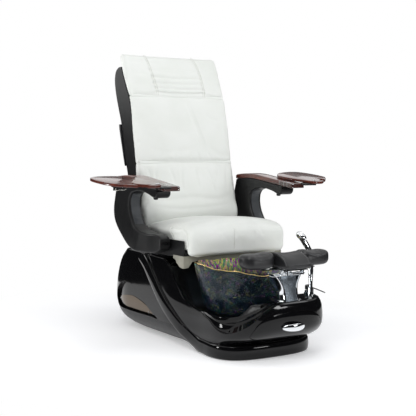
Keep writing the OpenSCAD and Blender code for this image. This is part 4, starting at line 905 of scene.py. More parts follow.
# drain stopper, raised
stopper = turned("pop_up_stopper", [(r, GLASS_TOP + h) for r, h in (
    (0.2, -30), (4, -30), (4, 16), (10, 17), (10, 31), (13, 34), (25, 35), (26, 36.5), (25.6, 38.5), (20, 41),
    (10, 41.8), (0.2, 42))], Matrix.Translation((*DRAIN_AT, 0)))
put(stopper, "stopper", CHROME, "chrome_trim", "drain_stopper")

# ---------------------------------------------------------------- soft goods
def resolve(o, voxel):
    m = o.modifiers.new("remesh", "REMESH")
    m.mode = "VOXEL"
    m.voxel_size = voxel * MM
    m.use_smooth_shade = True
    return apply_modifiers(o)


def vertex_data(o, what):
    """The vertices' co or normal, as rows of three."""
    data = np.empty(len(o.data.vertices) * 3, np.float32)
    o.data.vertices.foreach_get(what, data)
    return data.reshape(-1, 3).astype(float)


def set_coords(o, co):
    o.data.vertices.foreach_set("co", co.astype(np.float32).ravel())
    o.data.update()


def puff(o, voxel, pressure, limit):
    """Blows the closed skin up like a filled cover, no point further than limit in mm, and subdivides it."""
    resolve(o, voxel)
    before = vertex_data(o, "co")
    c = o.modifiers.new("fill", "CLOTH").settings
    c.use_pressure = True
    c.uniform_pressure_force = pressure
    c.quality = 4
    c.tension_stiffness = 18
    c.compression_stiffness = 14
    c.bending_stiffness = 2.5
    c.mass = 0.35
    c.effector_weights.gravity = 0
    for f in range(1, 21):
        scene.frame_set(f)
    apply_modifiers(o)
    scene.frame_set(1)
    after = vertex_data(o, "co")
    move = after - before
    far = np.linalg.norm(move, axis=1, keepdims=True)
    move *= np.minimum(1, limit * MM / np.maximum(far, 1e-9))
    after = before + move
    # no smaller than the skin was
    size = np.maximum(np.ptp(after, 0), np.ptp(before, 0))
    middle = (before.max(0) + before.min(0)) / 2
    set_coords(o, (after - (after.max(0) + after.min(0)) / 2) * size / np.ptp(after, 0) + middle)
    m = o.modifiers.new("finer", "SUBSURF")
    m.levels = m.render_levels = 1
    apply_modifiers(o)
    for f in o.data.polygons:
        f.use_smooth = True
    return o


def seg_distance(co, a, b):
    """Distance of each point from the segment a-b, and where along it, 0 to 1."""
    a, b = np.array(a) * MM, np.array(b) * MM
    d = b - a
    t = np.clip(((co - a) @ d) / (d @ d), 0, 1)
    return np.linalg.norm(co - a - t[:, None] * d, axis=1), t


def groove(o, line, width, depth, fade=False):
    """Presses a line of points into the surface: a seam, a channel or, where it fades out, a fold."""
    co = vertex_data(o, "co")
    amount = np.zeros(len(co))
    parts = len(line) - 1
    for i in range(parts):
        dist, t = seg_distance(co, line[i], line[i + 1])
        along = (i + t) / parts
        strength = np.sin(np.pi * np.clip(along, 0, 1)) ** 0.6 if fade else 1.0
        amount = np.maximum(amount, strength * np.exp(-(dist / (width * MM)) ** 2))
    set_coords(o, co - vertex_data(o, "normal") * (amount * depth * MM)[:, None])


def crease(o, points, width, depth, steps=4, fade=True):
    groove(o, catmull(points, steps), width, depth, fade)


def stitches(name, line, body):
    """A row of thread laid in a seam."""
    put(tube(name, catmull(line, 6), 0.8, 6, 80), body, STITCH, "white_leather")


def on_surface(o, points, direction, lift):
    """Drops points onto a piece along a direction and lifts them off it a little, in mm."""
    bpy.context.view_layer.update()
    d = Vector(direction).normalized()
    out = []
    for p in points:
        hit, at, nor, _ = o.ray_cast((Vector(p) - d * 60) * MM, d)
        out.append(at / MM + nor * lift if hit else Vector(p))
    return out


front_line = [[560, 30], [600, 30], [648, 30], [711, 48], [800, 68], [912, 94], [1000, 114],
              [1100, 135], [1200, 159], [1272, 179], [1350, 213], [1430, 247], [1500, 280], [1525, 292]]
border_line = [[560, 112], [650, 122], [846, 138], [971, 149], [1058, 163], [1135, 175], [1195, 187],
               [1258, 207], [1301, 233], [1374, 270], [1404, 286], [1440, 303], [1510, 334]]
rear_line = [[560, 162], [700, 210], [844, 246], [921, 270], [1027, 296], [1138, 326], [1206, 354],
             [1286, 385], [1350, 400], [1385, 399], [1415, 386], [1440, 356]]


def round_box(hw, lo, hi, r_lo, r_hi, crown):
    """Rounded section (x, depth), crowned at its hi side, its points spread evenly enough for a soft skin."""
    arc = [(cos(radians(90 * k / 10)), sin(radians(90 * k / 10))) for k in range(11)]
    pts = [(-hw + r_lo - r_lo * c, lo + r_lo - r_lo * s) for c, s in arc]
    pts += [(x, lo) for x in spread(-hw + r_lo, hw - r_lo, 26)[1:-1]]
    pts += [(hw - r_lo + r_lo * s, lo + r_lo - r_lo * c) for c, s in arc]
    pts += [(hw, d) for d in spread(lo + r_lo, hi - r_hi, 6)[1:-1]]
    pts += [(hw - r_hi + r_hi * c, hi - r_hi + r_hi * s) for c, s in arc]
    pts += [(lerp(hw - r_hi, r_hi - hw, t), hi + crown * (1 - lerp(1, -1, t) ** 2))
            for t in spread(0, 1, 26)[1:-1]]
    pts += [(-hw + r_hi - r_hi * s, hi - r_hi + r_hi * c) for c, s in arc]
    return pts + [(-hw, d) for d in spread(hi - r_hi, lo + r_lo, 6)[1:-1]]


def back_cushion(name, z0, z1, taper, swell):
    """Back pad between two heights, drawn in at its ends, a little smaller than it ends up."""
    rings = []
    for t in spread(0, 1, 40):
        end = abs(2 * t - 1)
        pinch = end**9
        z = lerp(z0, z1, t)
        y0 = curve(front_line, z) + 8 * pinch + swell
        y1 = curve(border_line, z) - 1.0
        hw = 303 - 4 * end**2 - 3 * pinch - taper * 6 * max(0, t - 0.75) - 2.5
        deep = y1 - y0 - 7
        rings.append([Vector((x, -d, z)) for x, d in
                      round_box(hw, -y1, -y0 - 7, min(6, deep / 3), min(24, deep / 2), 7)])
    return loft(name, rings, 60)


head = back_cushion("head_cushion", 1270, 1504, 1, 6)
middle = back_cushion("middle_cushion", 910, 1275, 0, 6)
lower = back_cushion("lower_cushion", 563, 915, 0, 4)
for o in (head, middle, lower):
    puff(o, 6, 5.0, 7)
    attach(o, "back")

# cloth hinges that join the pads behind their seams
web_section = [(-13, 7), (-6, 1.5), (0, 0), (6, 1.5), (13, 7), (13, 10), (0, 5), (-13, 10)]
for word, seam_z in (("low", 912.5), ("high", 1272.5)):
    web = [[Vector((x, curve(front_line, seam_z) + 15 - 3 * (x / 290) ** 2 + d, seam_z + h))
            for h, d in web_section] for x in spread(-288, 288, 24)]
    put(loft("pad_hinge_" + word, web, 80), "back", WHITE, "white_leather")


def on_back(points):
    """Points given as (x, z) laid on the front of the back."""
    return [(x, curve(front_line, z), z) for x, z in points]


# head pad: a stitched seam down each side, channels between them and soft folds beside them
head_left = [(-168, 280, 1530), (-165, 289, 1505), (-152, 266, 1449), (-141, 241, 1382),
             (-133, 222, 1332), (-131, 203, 1282), (-131, 200, 1266)]
head_right = [(133, 280, 1530), (136, 289, 1505), (155, 265, 1448), (166, 239, 1379), (167, 220, 1327),
              (162, 200, 1275), (161, 199, 1262)]
for line in (head_left, head_right):
    crease(head, on_back([(x, z) for x, y, z in line]), 5.5, 5.0, 5, False)
for z in (1297, 1322, 1350, 1383, 1420):
    up = (z - 1282) / 223
    channel = [(lerp(-131, -165, up), z + 2), (-60, z - 3), (20, z - 4), (90, z - 2),
               (lerp(164, 150, up), z + 3)]
    crease(head, on_back(channel), 9, 6.5 if z < 1400 else 3, fade=False)
for x0, x1, z in ((-292, -190, 1470), (-290, -175, 1400), (-293, -160, 1340), (200, 292, 1440),
                  (190, 290, 1360), (195, 285, 1310)):
    crease(head, on_back([(x0, z - 12), ((x0 + x1) / 2, z), (x1, z - 6)]), 13, 1.6)

# middle pad: one soft crease that runs down towards the sitter's left, and folds at the waist
for points, width, depth in ( ([(35, 1260), (57, 1194), (80, 1122), (109, 1039), (115, 983),
                                (112, 930)], 15, 4.2), ([(-150, 1100), (-60, 1078),
                                (40, 1088)], 22, 1.8), ([(-230, 990), (-120, 972), (20, 986),
                                (90, 1010)], 18, 2.2), ([(140, 1180), (210, 1150),
                                (280, 1160)], 14, 2.0), ([(150, 1000), (220, 960),
                                (286, 955)], 14, 2.2)):
    crease(middle, on_back(points), width, depth, 5)
for x, z, tilt in ((-240, 930, 40), (-180, 928, 34), (-90, 926, 26), (10, 926, 20), (90, 928, -20),
                   (170, 930, -34), (240, 932, -44)):
    crease(middle, on_back([(x, z - 14), (x + tilt * 0.5, z + 14), (x + tilt, z + 46)]), 7, 2.4)

# lower pad: gathered under the seam, with long folds towards the seat
for x, z, dx in ((-250, 800, 14), (-196, 770, -20), (-120, 790, 26), (-40, 760, -14), (40, 780, 10),
                 (118, 750, 34), (190, 790, -16), (248, 760, -12)):
    crease(lower, on_back([(x, 905), (x + dx * 0.6, (905 + z) / 2), (x + dx, z)]), 9, 2.6)
crease(lower, on_back([(-280, 742), (-150, 718), (20, 726), (160, 714), (284, 738)]), 16, 3.0, 5)
crease(lower, on_back([(-240, 684), (-80, 668), (90, 672), (250, 688)]), 13, 2.4, 5)

for o, node, fill in ((head, "head_pad", 0.8), (middle, "back_pad_middle", 0.75),
                      (lower, "back_pad_lower", 0.7)):
    put(o, "back", WHITE, "white_leather", node)

for word, line, off in (("a", head_left, -5), ("b", head_left, 5),
                        ("c", head_right, -5), ("d", head_right, 5)):
    thread = [(p.x + off, p.y, p.z) for p in catmull(line[1:6], 6)]
    stitches("head_seam_" + word, on_surface(head, thread, (0, 1, 0), 0.25), "back")

# seat cushion: soft top, rolled front with an end cap at each side
SEAT_W = 288
seat_under = [[-420, 480], [-413, 468], [-400, 461], [-390, 461], [-366, 488], [24, 488]]
seat_over = [[-420, 560], [-413, 588], [-400, 603], [-370, 616], [-300, 621], [-220, 617], [-120, 611],
             [-30, 609], [14, 603], [24, 590]]


def seat_side(y):
    return SEAT_W - 10 * clamp((-395 - y) / 25) ** 2 - 1.5 * (1 + cos(radians(y * 2))) - 3


rings = []
for y in [-418, -416, -413, -408, -400] + spread(-392, 8, 40) + [13, 18, 21, 23]:
    low, high = curve(seat_under, y) + 1.5, curve(seat_over, y) - 7
    tight = 1 - clamp((-400 - y) / 20) * 0.05
    section = round_box(seat_side(y) * tight, low, high, 26 if y < -360 else 14, min(40, (high - low) / 2.2),
                        24 if y > -410 else 15)
    rings.append([Vector((x * (1 + 0.045 * ease((z - 560) / 20) * ease((y + 330) / 60)), y, z))
                  for x, z in section])
seat = puff(loft("seat_cushion_skin", rings, 60), 7, 6.0, 8)

# end-cap seam on both sides, running over the top corner and down behind the roll
end_top = [(285, 10, 600), (285, -120, 606), (285, -220, 606), (285, -268, 600), (285, -330, 590),
           (283, -390, 570)]
end_down = [(285, -226, 600), (285, -240, 570), (285, -257, 512), (285, -297, 474), (285, -375, 450)]
for s in (-1, 1):
    crease(seat, [(s * x, y, z) for x, y, z in end_top], 5, 4, 5, False)
    crease(seat, [(s * x, y, z) for x, y, z in end_down], 6, 5.5, 5, False)
front_line = ((-418, 470), (-421, 520), (-420, 560), (-408, 610), (-370, 636))
front_seam = catmull([(-28, y, z) for y, z in front_line], 5)
groove(seat, front_seam, 4, 3.4)
# small folds on the roll, then on the top
for x0, z0, x1, z1, depth in ((-270, 560, -225, 500, 2.4), (-262, 590, -210, 545, 2.0),
                              (-246, 520, -214, 476, 1.8), (-60, 560, -34, 530, 1.4),
                              (-20, 590, 30, 560, 1.2), (200, 590, 262, 548, 1.6),
                              (214, 540, 268, 500, 1.6)):
    crease(seat, [(x0, -417, z0), ((x0 + x1) / 2, -421, (z0 + z1) / 2 - 4), (x1, -418, z1)], 8, depth)
for points, depth in (([(-230, -340), (-120, -300), (20, -318)], 2.0), ([(60, -230), (160, -270),
                      (250, -250)], 2.0), ([(-200, -160), (-60, -130), (90, -150)], 1.8)):
    crease(seat, [(x, y, curve(seat_over, y) - 7 + 24 * (1 - (x / 262) ** 2)) for x, y in points], 16, depth)
put(seat, "seat", WHITE, "white_leather", "seat_cushion")
oval = [(-228, 582), (-246, 594), (-280, 599), (-322, 596), (-358, 587), (-384, 568), (-393, 542),
        (-390, 514), (-372, 507), (-340, 508), (-300, 512), (-262, 524), (-237, 550)]
for s, word in ((-1, "left"), (1, "right")):
    cord = on_surface(seat, catmull([(s * 292, y, z) for y, z in oval], 5, closed=True), (-s, 0, 0), 0.6)
    piping = [[p + Vector((1.9 * sin(a) * s, 1.9 * cos(a), 1.9 * cos(a))) for a in around(8)] for p in cord]
    put(loft("roll_piping_" + word, piping, 80, loop=True), "seat", WHITE, "white_leather")
thread = [(-31, p.y - 10, p.z) for p in front_seam[2:14]]
stitches("seat_seam_front", on_surface(seat, thread, (0, 1, 0), 0.2), "seat")

# ---------------------------------------------------------------- footrest
PAD_LOW, PAD_MID, FOOT_TOP, FOOT_HALF, SADDLE = 438, -790, 524, 245, 146


def foot_pad(name, side):
    rings = []
    for t in spread(0, 1, 44):
        x = side * lerp(FOOT_HALF - 1.5, SADDLE / 2 + 1.6, t)
        e = sqrt(max(0.1, 1 - abs(2 * t - 1) ** 5)) * 0.985
        top = FOOT_TOP - 16 + 15 * (2 * t - 0.9) ** 2
        rings.append([Vector((x, PAD_MID + 52 * e * spow(cos(a), 0.62),
                              (PAD_LOW + top) / 2 + (top - PAD_LOW) / 2 * e * spow(sin(a), 0.62)))
                      for a in around(48)])
    return loft(name, rings, 70)


for side, word in ((-1, "left"), (1, "right")):
    pad = puff(foot_pad("foot_pad_" + word + "_skin", side), 4, 3.0, 2.5)
    piping = [(side * 232, PAD_MID + 50 * cos(a), 481 + 40 * sin(a)) for a in around(24) + [2 * pi]]
    groove(pad, piping, 3.2, 1.8)
    for x, tilt in ((150, 12), (190, -10), (110, 8)):
        crease(pad, [(side * x, PAD_MID - 44, 500), (side * (x + tilt), PAD_MID - 20, 512),
                     (side * (x + 2 * tilt), PAD_MID + 16, 510)], 9, 1.1)
    put(pad, "footrest", DARK_LEATHER, "black_leather", "foot_pad_" + word)

saddle_line = catmull([(0, 26, 1), (0, 33, 22), (0, 32, 55), (0, 18, 70), (0, -10, 75.5), (0, -50, 69),
                       (0, -86, 48), (0, -108, 24), (0, -112, 10), (0, -106, 1)], 5)
rings = []
for t in spread(0, 1, 32):
    e = sqrt(max(0.55, 1 - abs(2 * t - 1) ** 7))
    x = lerp(-SADDLE / 2 + 1, SADDLE / 2 - 1, t)
    dip = 9 * (1 - (2 * t - 1) ** 2)
    rings.append([Vector((x, PAD_MID - 36 + (p.y + 36) * (0.95 + 0.05 * e),
                          PAD_LOW + 0.5 + p.z * (0.93 + 0.055 * e) - dip * max(0, p.z - 14) / 63))
                  for p in saddle_line])
saddle = puff(loft("saddle_skin", rings, 70), 4, 3.0, 2.2)
for s in (-1, 1):
    groove(saddle, [(s * 66, PAD_MID + p.y, PAD_LOW + p.z - 1) for p in saddle_line[6:44]], 3, 1.6)
put(saddle, "footrest", DARK_LEATHER, "black_leather", "saddle_pad")

# chrome column: two posts that curve apart, with a brushed plate before and behind them
COL_FOOT_Y, COL_HEAD_Y, COL_HEAD_Z, COL_DEEP, BAR_Z = -828, -795, 412, 52, 404
post_x = [[285, 39], [300, 36.5], [321, 35], [345, 38], [365, 45], [385, 57], [400, 70], [412, 80]]


def column_y(z):
    return COL_FOOT_Y + (COL_HEAD_Y - COL_FOOT_Y) * (z - DECK_TOP) / (COL_HEAD_Z - DECK_TOP)


parts = []
for s in (-1, 1):
    rings = []
    for z in spread(DECK_TOP + 0.4, COL_HEAD_Z, 30):
        x, y = s * curve(post_x, z), column_y(z)
        rings.append([Vector((x + 6.2 * spow(cos(a), 0.8), y + (COL_DEEP / 2 - 1) * spow(sin(a), 0.55), z))
                      for a in around(32)])
    parts.append(loft("post", rings, 60))
    middle_of_foot = Vector((s * 48, COL_FOOT_Y, 0))
    foot = [Vector((s * 48 + 11.5 * spow(cos(a), 0.5), COL_FOOT_Y + 17.5 * spow(sin(a), 0.5), 0))
            for a in around(40)]
    parts.append(loft("foot", [[p + Vector((0, 0, DECK_TOP + h)) - (p - middle_of_foot) * c for p in foot]
                               for h, c in ((0.3, 0), (3.6, 0), (4.6, 0.03), (5.1, 0.1))], 40))
head_bar = [[Vector((t * 76, column_y(BAR_Z) + 23 * spow(cos(a), 0.6), BAR_Z + 6.5 * spow(sin(a), 0.7)))
             for a in around(28)] for t in spread(-1, 1, 20)]
slide_gate = loft("gate", head_bar, 60)
cut(slide_gate, block("cutter", (-31, column_y(BAR_Z) - 11, 380), (31, column_y(BAR_Z) + 11, 430)))
put(join("column_frame", parts + [slide_gate]), "base", CHROME, "chrome_trim", "footrest_column")
for word, behind in (("", 0), ("_rear", 36)):
    rings = []
    for z in spread(DECK_TOP + 1, 402, 20):
        hw, y = min(curve(post_x, z) - 5, 42), column_y(z)
        face = ((-hw, 21), (-hw * 0.5, 22.5), (0, 23), (hw * 0.5, 22.5), (hw, 21), (hw, 15), (-hw, 15))
        rings.append([Vector((x, y - d + behind, z)) for x, d in face])
    put(loft("column_plate" + word, rings, 40), "base", BRUSHED, "chrome_trim")

# ---------------------------------------------------------------- mixer and hand shower
MIXER = Matrix.Translation((*MIXER_AT, DECK_TOP)) @ turn(58.2, "Z")
stem_low = turned("turret_low", [(0.2, 2.6), (8.8, 2.6), (8.8, 18.4), (0.2, 18.4)], MIXER, 36)
stem_top = placed(block("turret_top", (-7, -5.4, 17.2), (7, 5.4, 33.6), 1.2), MIXER)
put(join("mixer_turret", [stem_low, stem_top]), "mixer_turret", CHROME, "chrome_trim", "mixer_stem")
knob = turned("lever_knob", [(12.2, 20.2), (16.2, 20.2), (17, 21.2), (17, 34), (16.4, 38), (14, 41),
                             (9.5, 42.6),
                             (0.2, 43), (0.2, 40.8), (9.6, 40.4), (12.4, 38.6)], MIXER, 56)
rod_line = [MIXER @ Vector(p) for p in ((0, -15, 29), (0, -40, 20.5), (0, -77, 5), (0, -81.5, 2.8))]
rod = tube("lever_rod", rod_line, [3.1, 2.8, 2.8, 2.4], 16)
put(join("mixer_knob", [knob, rod]), "mixer_handle", DARK_CHROME, "dark_chrome", "mixer_lever")

SHOWER = Matrix.Translation((*SHOWER_AT, DECK_TOP)) @ turn(7.2, "Y") @ turn(-9.7, "X")
STRAIGHT, NECK = 192, 12.9
knee = Vector((0, 0, 205))
bend = turn(-38, "Y")
tip = knee + bend @ Vector((0, 0, 92))
handle_line = [(9, 8.6), (16, 9.3), (40, 9.4), (58, 9.4), (72, 10), (95, 11.6), (118, 12.8), (150, NECK),
               (180, NECK),
            (STRAIGHT, NECK)]
pts = [Vector((0, 0, z)) for z, r in handle_line]
radii = [r for z, r in handle_line]
for t in (0.06, 0.2, 0.4, 0.6, 0.8, 1.0):
    pts.append(Vector((0, 0, STRAIGHT)).lerp(knee, t).lerp(knee.lerp(tip, 0.22 * t), t))
    radii.append(NECK)
for t in (0.3, 0.45, 0.6, 0.75, 0.9, 1.0):
    pts.append(knee.lerp(tip, t))
    radii.append(NECK + 1.8 * t)
hand = tube("shower_neck", [SHOWER @ p for p in pts], radii, 36)
face = (SHOWER @ Matrix.Translation(knee) @ bend @ Matrix.Translation((0, 0, 92))
        @ turn(66, "Z") @ turn(38, "Y") @ turn(-100, "X"))
spray = turned("shower_head", [(0.2, -14), (12, -14), (22, -12.6), (27.4, -9), (29.4, -4), (29.8, 2),
                               (29.2, 6),
                               (27, 9.6), (24.4, 11.4), (22.6, 11.8), (21.8, 11), (0.2, 11)], face, 56, 30)
holes = [turned("nozzle", [(0.2, 10.6), (1.5, 10.6), (1.2, 12), (0.2, 12.1)],
                face @ Matrix.Translation((r * cos(a), r * sin(a), 0)), 10)
         for n, r in ((6, 7), (12, 14)) for a in around(n)]
put(join("hand_shower_body", [hand, spray]), "shower", CHROME, "chrome_trim", "hand_shower")
put(join("spray_nozzles", holes), "shower", MOTOR, "chrome_trim")

# ---------------------------------------------------------------- seat apron
APRON_TOP = 462
w, f = 293.4, -362.4
hem = [(-w, f + 100, 446), (-w, f + 80, 440), (-w, f + 60, 424), (-w, f + 40, 409), (-w, f + 12, 403),
       (-w, f, 402),
       (12 - w, f, 403), (-268, f, 405), (-257, f, 420), (-248, f, 432)]
hem += [(x, f, 437 - 4 * cos(radians(x * 3))) for x in (-225, -200, -160, -120, -80, -40)]
hem += [(0, f, 436)] + [(-x, y, z) for x, y, z in reversed(hem)]
dense = []
for i in range(len(hem) - 1):
    a, b = Vector(hem[i]), Vector(hem[i + 1])
    n = max(1, int((b - a).length / 6))
    dense += [a.lerp(b, k / n) for k in range(n)]
dense.append(Vector(hem[-1]))
rings, length = [], 0
for i, p in enumerate(dense):
    d = dense[min(len(dense) - 1, i + 2)] - dense[max(0, i - 2)]
    out = Vector((d.y, -d.x, 0)).normalized()
    if i:
        length += Vector((p.x - dense[i - 1].x, p.y - dense[i - 1].y, 0)).length
    col = []
    for v in spread(0, 1, 11):
        z = lerp(APRON_TOP - 0.5, p.z + 0.5, v)
        wave = (0.9 * sin(length / 11) + 0.7 * sin(length / 6.1 + 1.3)) * v
        sweep = v * v * (8 if p.z < 430 else 2)
        col.append(Vector((p.x, p.y, z)) + out * (0.6 + wave * 0.9 + sweep * 0.4 + 0.8))
    rings.append(col + [q - out * 1.4 for q in reversed(col)])
flap = loft("apron_cloth", rings, 70)
# its grey is partly its own colour and partly painted shade from under the seat
put(flap, "seat", CLOTH, "grey_cloth", "apron")

# ---------------------------------------------------------------- rear shell and flap of the back
def shell_section(z, inset):
    y0 = curve(border_line, z) + 2.4
    y1 = curve(rear_line, z) - inset
    hw, r = 299 - inset, min(26, (y1 - y0) / 2.2)
    arc = [radians(90 * k / 9) for k in range(1, 9)]
    pts = [(-hw, y) for y in spread(y0, y1 - r, 4)]
    pts += [(-hw + r - r * cos(a), y1 - r + r * sin(a)) for a in arc]
    pts += [(x, y1) for x in spread(-hw + r, hw - r, 20)]
    pts += [(hw - r + r * sin(a), y1 - r + r * cos(a)) for a in arc]
    pts += [(hw, y) for y in spread(y1 - r, y0, 4)]
    return [Vector((x, y, z)) for x, y in pts]


wall = loft("shell_wall", [shell_section(z, 0.2) + list(reversed(shell_section(z, 5)))
                           for z in spread(626.5, 1402, 60)], 40)
rings = []
for t in spread(0, 1, 14):
    z = lerp(1401.5, 1435.5, t)
    ring = shell_section(z, 0.2 + 4 * t**4)
    if ring[20].y - ring[0].y < 8:
        ring = [Vector((p.x, max(p.y, ring[0].y), z)) for p in ring]
    rings.append(ring)
top = loft("shell_top", rings, 40)
put(join("rear_shell", [wall, top]), "back", PLASTIC, "satin_black", "back_shell")

rings = []
arc = [(cos(radians(a)), sin(radians(a))) for a in range(0, 91, 10)]
for t in spread(0, 1, 29):
    z = lerp(896.5, 1123.5, t)
    y = curve(rear_line, z) + 1.8
    thick = 8 + 20 * t - 3 * t**14
    hw, r = 296 - 2 * t**14, 4 + 6 * t
    pts = [(-hw, y)] + [(-hw + r - r * c, y + thick - r + r * s) for c, s in arc]
    pts += [(x, y + thick) for x in spread(-hw + r, hw - r, 12)[1:-1]]
    pts += [(hw - r + r * s, y + thick - r + r * c) for c, s in arc] + [(hw, y)]
    rings.append([Vector((x, q, z)) for x, q in pts])
put(loft("cover_flap", rings, 50), "back", DARK_LEATHER, "satin_black", "back_flap")

# ---------------------------------------------------------------- arms
ARM_IN, ARM_OUT, CAP_H = 335, 415, 24
cap_line = [[-398, 807.5], [-357, 812.7], [-269, 824.1], [-146, 840], [-56, 851], [30, 853], [124, 846]]
inner_pts = [(-246, 527), (-243, 546), (-205, 561), (-150, 561), (-104, 571), (-75, 586), (-54, 604),
             (-36, 628), (-22, 652), (-13, 678), (-9, 700), (-10, 718), (-14, 736), (-24, 750),
             (-34, 759), (-44, 764), (-60, 768), (-80, 772), (-114, 776.5), (-140, 776), (-160, 774),
             (-220, 763), (-262, 750), (-289, 746.5), (-304, 754), (-310, 768)]
outer_pts = [(-245, 507), (-238, 487), (-200, 468), (-140, 465.2), (-75, 467.5), (-30, 475), (20, 496),
             (75, 534), (125, 575), (157, 613), (169, 652), (167, 690), (157, 726), (147, 757),
             (133, 797), (122, 820), (80, 826.4), (30, 828.4), (-40, 827.6), (-100, 821.4),
             (-150, 815), (-218, 806.4), (-258, 801), (-289, 796.8), (-304, 795), (-310, 793)]


def branch(y, z):
    """Inner and outer X of an arm; its lower branch bends in beside the seat."""
    low = ease((612 - z) / 24)
    x_in = lerp(ARM_IN, ARM_IN - 32, clamp((-60 - y) / 60))
    x_out = lerp(ARM_OUT, ARM_OUT - 32, clamp((-70 - y) / 90)) - 26 * clamp((-160 - y) / 95)
    return lerp(ARM_IN, x_in, low), lerp(ARM_OUT, x_out, low)


def arm_ring(a, b, pinch, corner):
    """Rounded section between a point on the C's inside and one on its outside."""
    ia, oa = branch(*a)
    ib, ob = branch(*b)
    span = hypot(b[0] - a[0], b[1] - a[1])
    ring = []
    for cu, cv, start in ((0, 0, 180), (1, 0, 270), (1, 1, 0), (0, 1, 90)):
        for q in (radians(start + 90 * k / 6) for k in range(7)):
            du = (corner + pinch) * (1 - 2 * cu) + corner * cos(q)
            dv = (corner + pinch) * (1 - 2 * cv) + corner * sin(q)
            v = clamp((cv * span + dv) / span)
            x = lerp(lerp(ia, ib, v), lerp(oa, ob, v), cu) + du
            ring.append((x, lerp(a[0], b[0], v), lerp(a[1], b[1], v)))
    return ring


def through(points, steps, closed=False):
    """Smooth line through (a, b) pairs."""
    return [(p.x, p.y) for p in catmull([(a, b, 0) for a, b in points], steps, closed)]


def arm(side, name):
    a, b = through(inner_pts, 5), through(outer_pts, 5)
    rings = []
    for i, (p, q) in enumerate(zip(a, b)):
        end = max(0.0, 1 - min(i, len(a) - 1 - i) / 3)
        ring = arm_ring(p, q, 5 * end**2, 9.5 if i > 70 else 11)
        rings.append([Vector((side * x, y, z)) for x, y, z in ring])
    return loft(name, rings, 55)


def cap_ring(side, y, half, low, high):
    x0, x1 = ARM_IN - 2 + half, ARM_OUT + 2 - half
    z0, z1 = curve(cap_line, y) - CAP_H + low, curve(cap_line, y) - high
    ring = []
    for x, z, start, r in ((x1, z1, 0, 7), (x0, z1, 90, 7), (x0, z0, 180, 2.2), (x1, z0, 270, 2.2)):
        cx = x - r if x == x1 else x + r
        cz = z - r if z == z1 else z + r
        for q in (radians(start + 90 * k / 6) for k in range(7)):
            ring.append(Vector((side * (cx + r * cos(q)), y, cz + r * sin(q))))
    return ring


def cap(name, side, y0, y1, round_front, round_rear):
    """Piece of the arm's wooden top, its ends rounded over their last 6 mm."""
    rings = []
    for y in spread(y0, y1, 40):
        end = max(round_front * max(0, 1 - (y - y0) / 6), round_rear * max(0, 1 - (y1 - y) / 6))
        shrink = 2.4 * (1 - sqrt(max(0.0, 1 - end**2)))
        rings.append(cap_ring(side, y, shrink, shrink * 0.5, shrink))
    return loft(name, rings, 40)


def strip(side, y, width, grow):
    """Thin inlay round the block."""
    return loft("inlay", [cap_ring(side, y + d, grow, grow, grow) for d in (-width / 2, width / 2)], 40)


TRAY_SLOPE, TRAY_LOW, TRAY_HIGH = 7.4, 1.5, 15.5
tray_outline = [(22, -34), (68, -27), (134, -4), (185, 20), (216, 46), (240, 98), (253, 170),
                (248, 218), (222, 246), (172, 262), (96, 262), (44, 242), (2, 212), (-18, 148),
                (-20, 60), (-14, -8)]


def tray_matrix(side, swing=0):
    m = Matrix.Translation((ARM_OUT + 50, -414, 805.5)) @ turn(TRAY_SLOPE, "X") @ turn(swing, "Z")
    return Matrix.Diagonal((side, 1, 1, 1)) @ m


def finger_slot():
    """Outline of the slot: what a bigger circle beside it leaves of a circle."""
    cx, cy, r = 76, 18, 46
    dx, dy, big = 46, 54, 62
    circle = [(cx + r * cos(radians(a)), cy + r * sin(radians(a))) for a in range(0, 360, 4)]
    outside = [hypot(x - dx, y - dy) > big for x, y in circle]
    start = next(i for i in range(90) if outside[i] and not outside[i - 1])
    edge = [circle[(start + k) % 90] for k in range(90) if outside[(start + k) % 90]]
    a0, a1 = (atan2(y - dy, x - dx) for x, y in (edge[0], edge[-1]))
    while a1 < a0:
        a1 += 2 * pi
    return edge + [(dx + big * cos(a), dy + big * sin(a)) for a in spread(a1, a0, 30)[1:-1]]


def board(name, m):
    """Tray board with rounded edges, its slot and its pin hole cut through."""
    cx, cy = 110, 118
    rings = []
    for inset, z in ((1.3, TRAY_LOW), (0.35, TRAY_LOW + 0.9), (0, TRAY_LOW + 2.2), (0, TRAY_HIGH - 3.4),
                     (0.5, TRAY_HIGH - 1.5), (1.8, TRAY_HIGH - 0.4), (3.6, TRAY_HIGH)):
        ring = []
        for x, y in through(tray_outline, 8, True):
            far = hypot(x - cx, y - cy)
            ring.append(m @ Vector((x - (x - cx) / far * inset, y - (y - cy) / far * inset, z)))
        rings.append(ring)
    o = loft(name, rings, 35)
    low, high = TRAY_LOW - 6, TRAY_HIGH + 6
    cut(o, loft("cutter", [[m @ Vector((x, y, z)) for x, y in finger_slot()] for z in (low, high)], 35))
    cut(o, turned("cutter", [(6.1, low), (6.1, high)], m, 32))
    return shade(o, 32)


inset_section = [(ARM_IN + 15, -0.5), (ARM_IN + 16, 0.5), (ARM_OUT - 16, 0.5), (ARM_OUT - 15, -0.5)]
spring_line = catmull([(188, 58, -8), (192, 54, -15), (184, 52, -20), (170, 54, -17), (150, 57, -19),
                       (134, 58, -15)], 8)

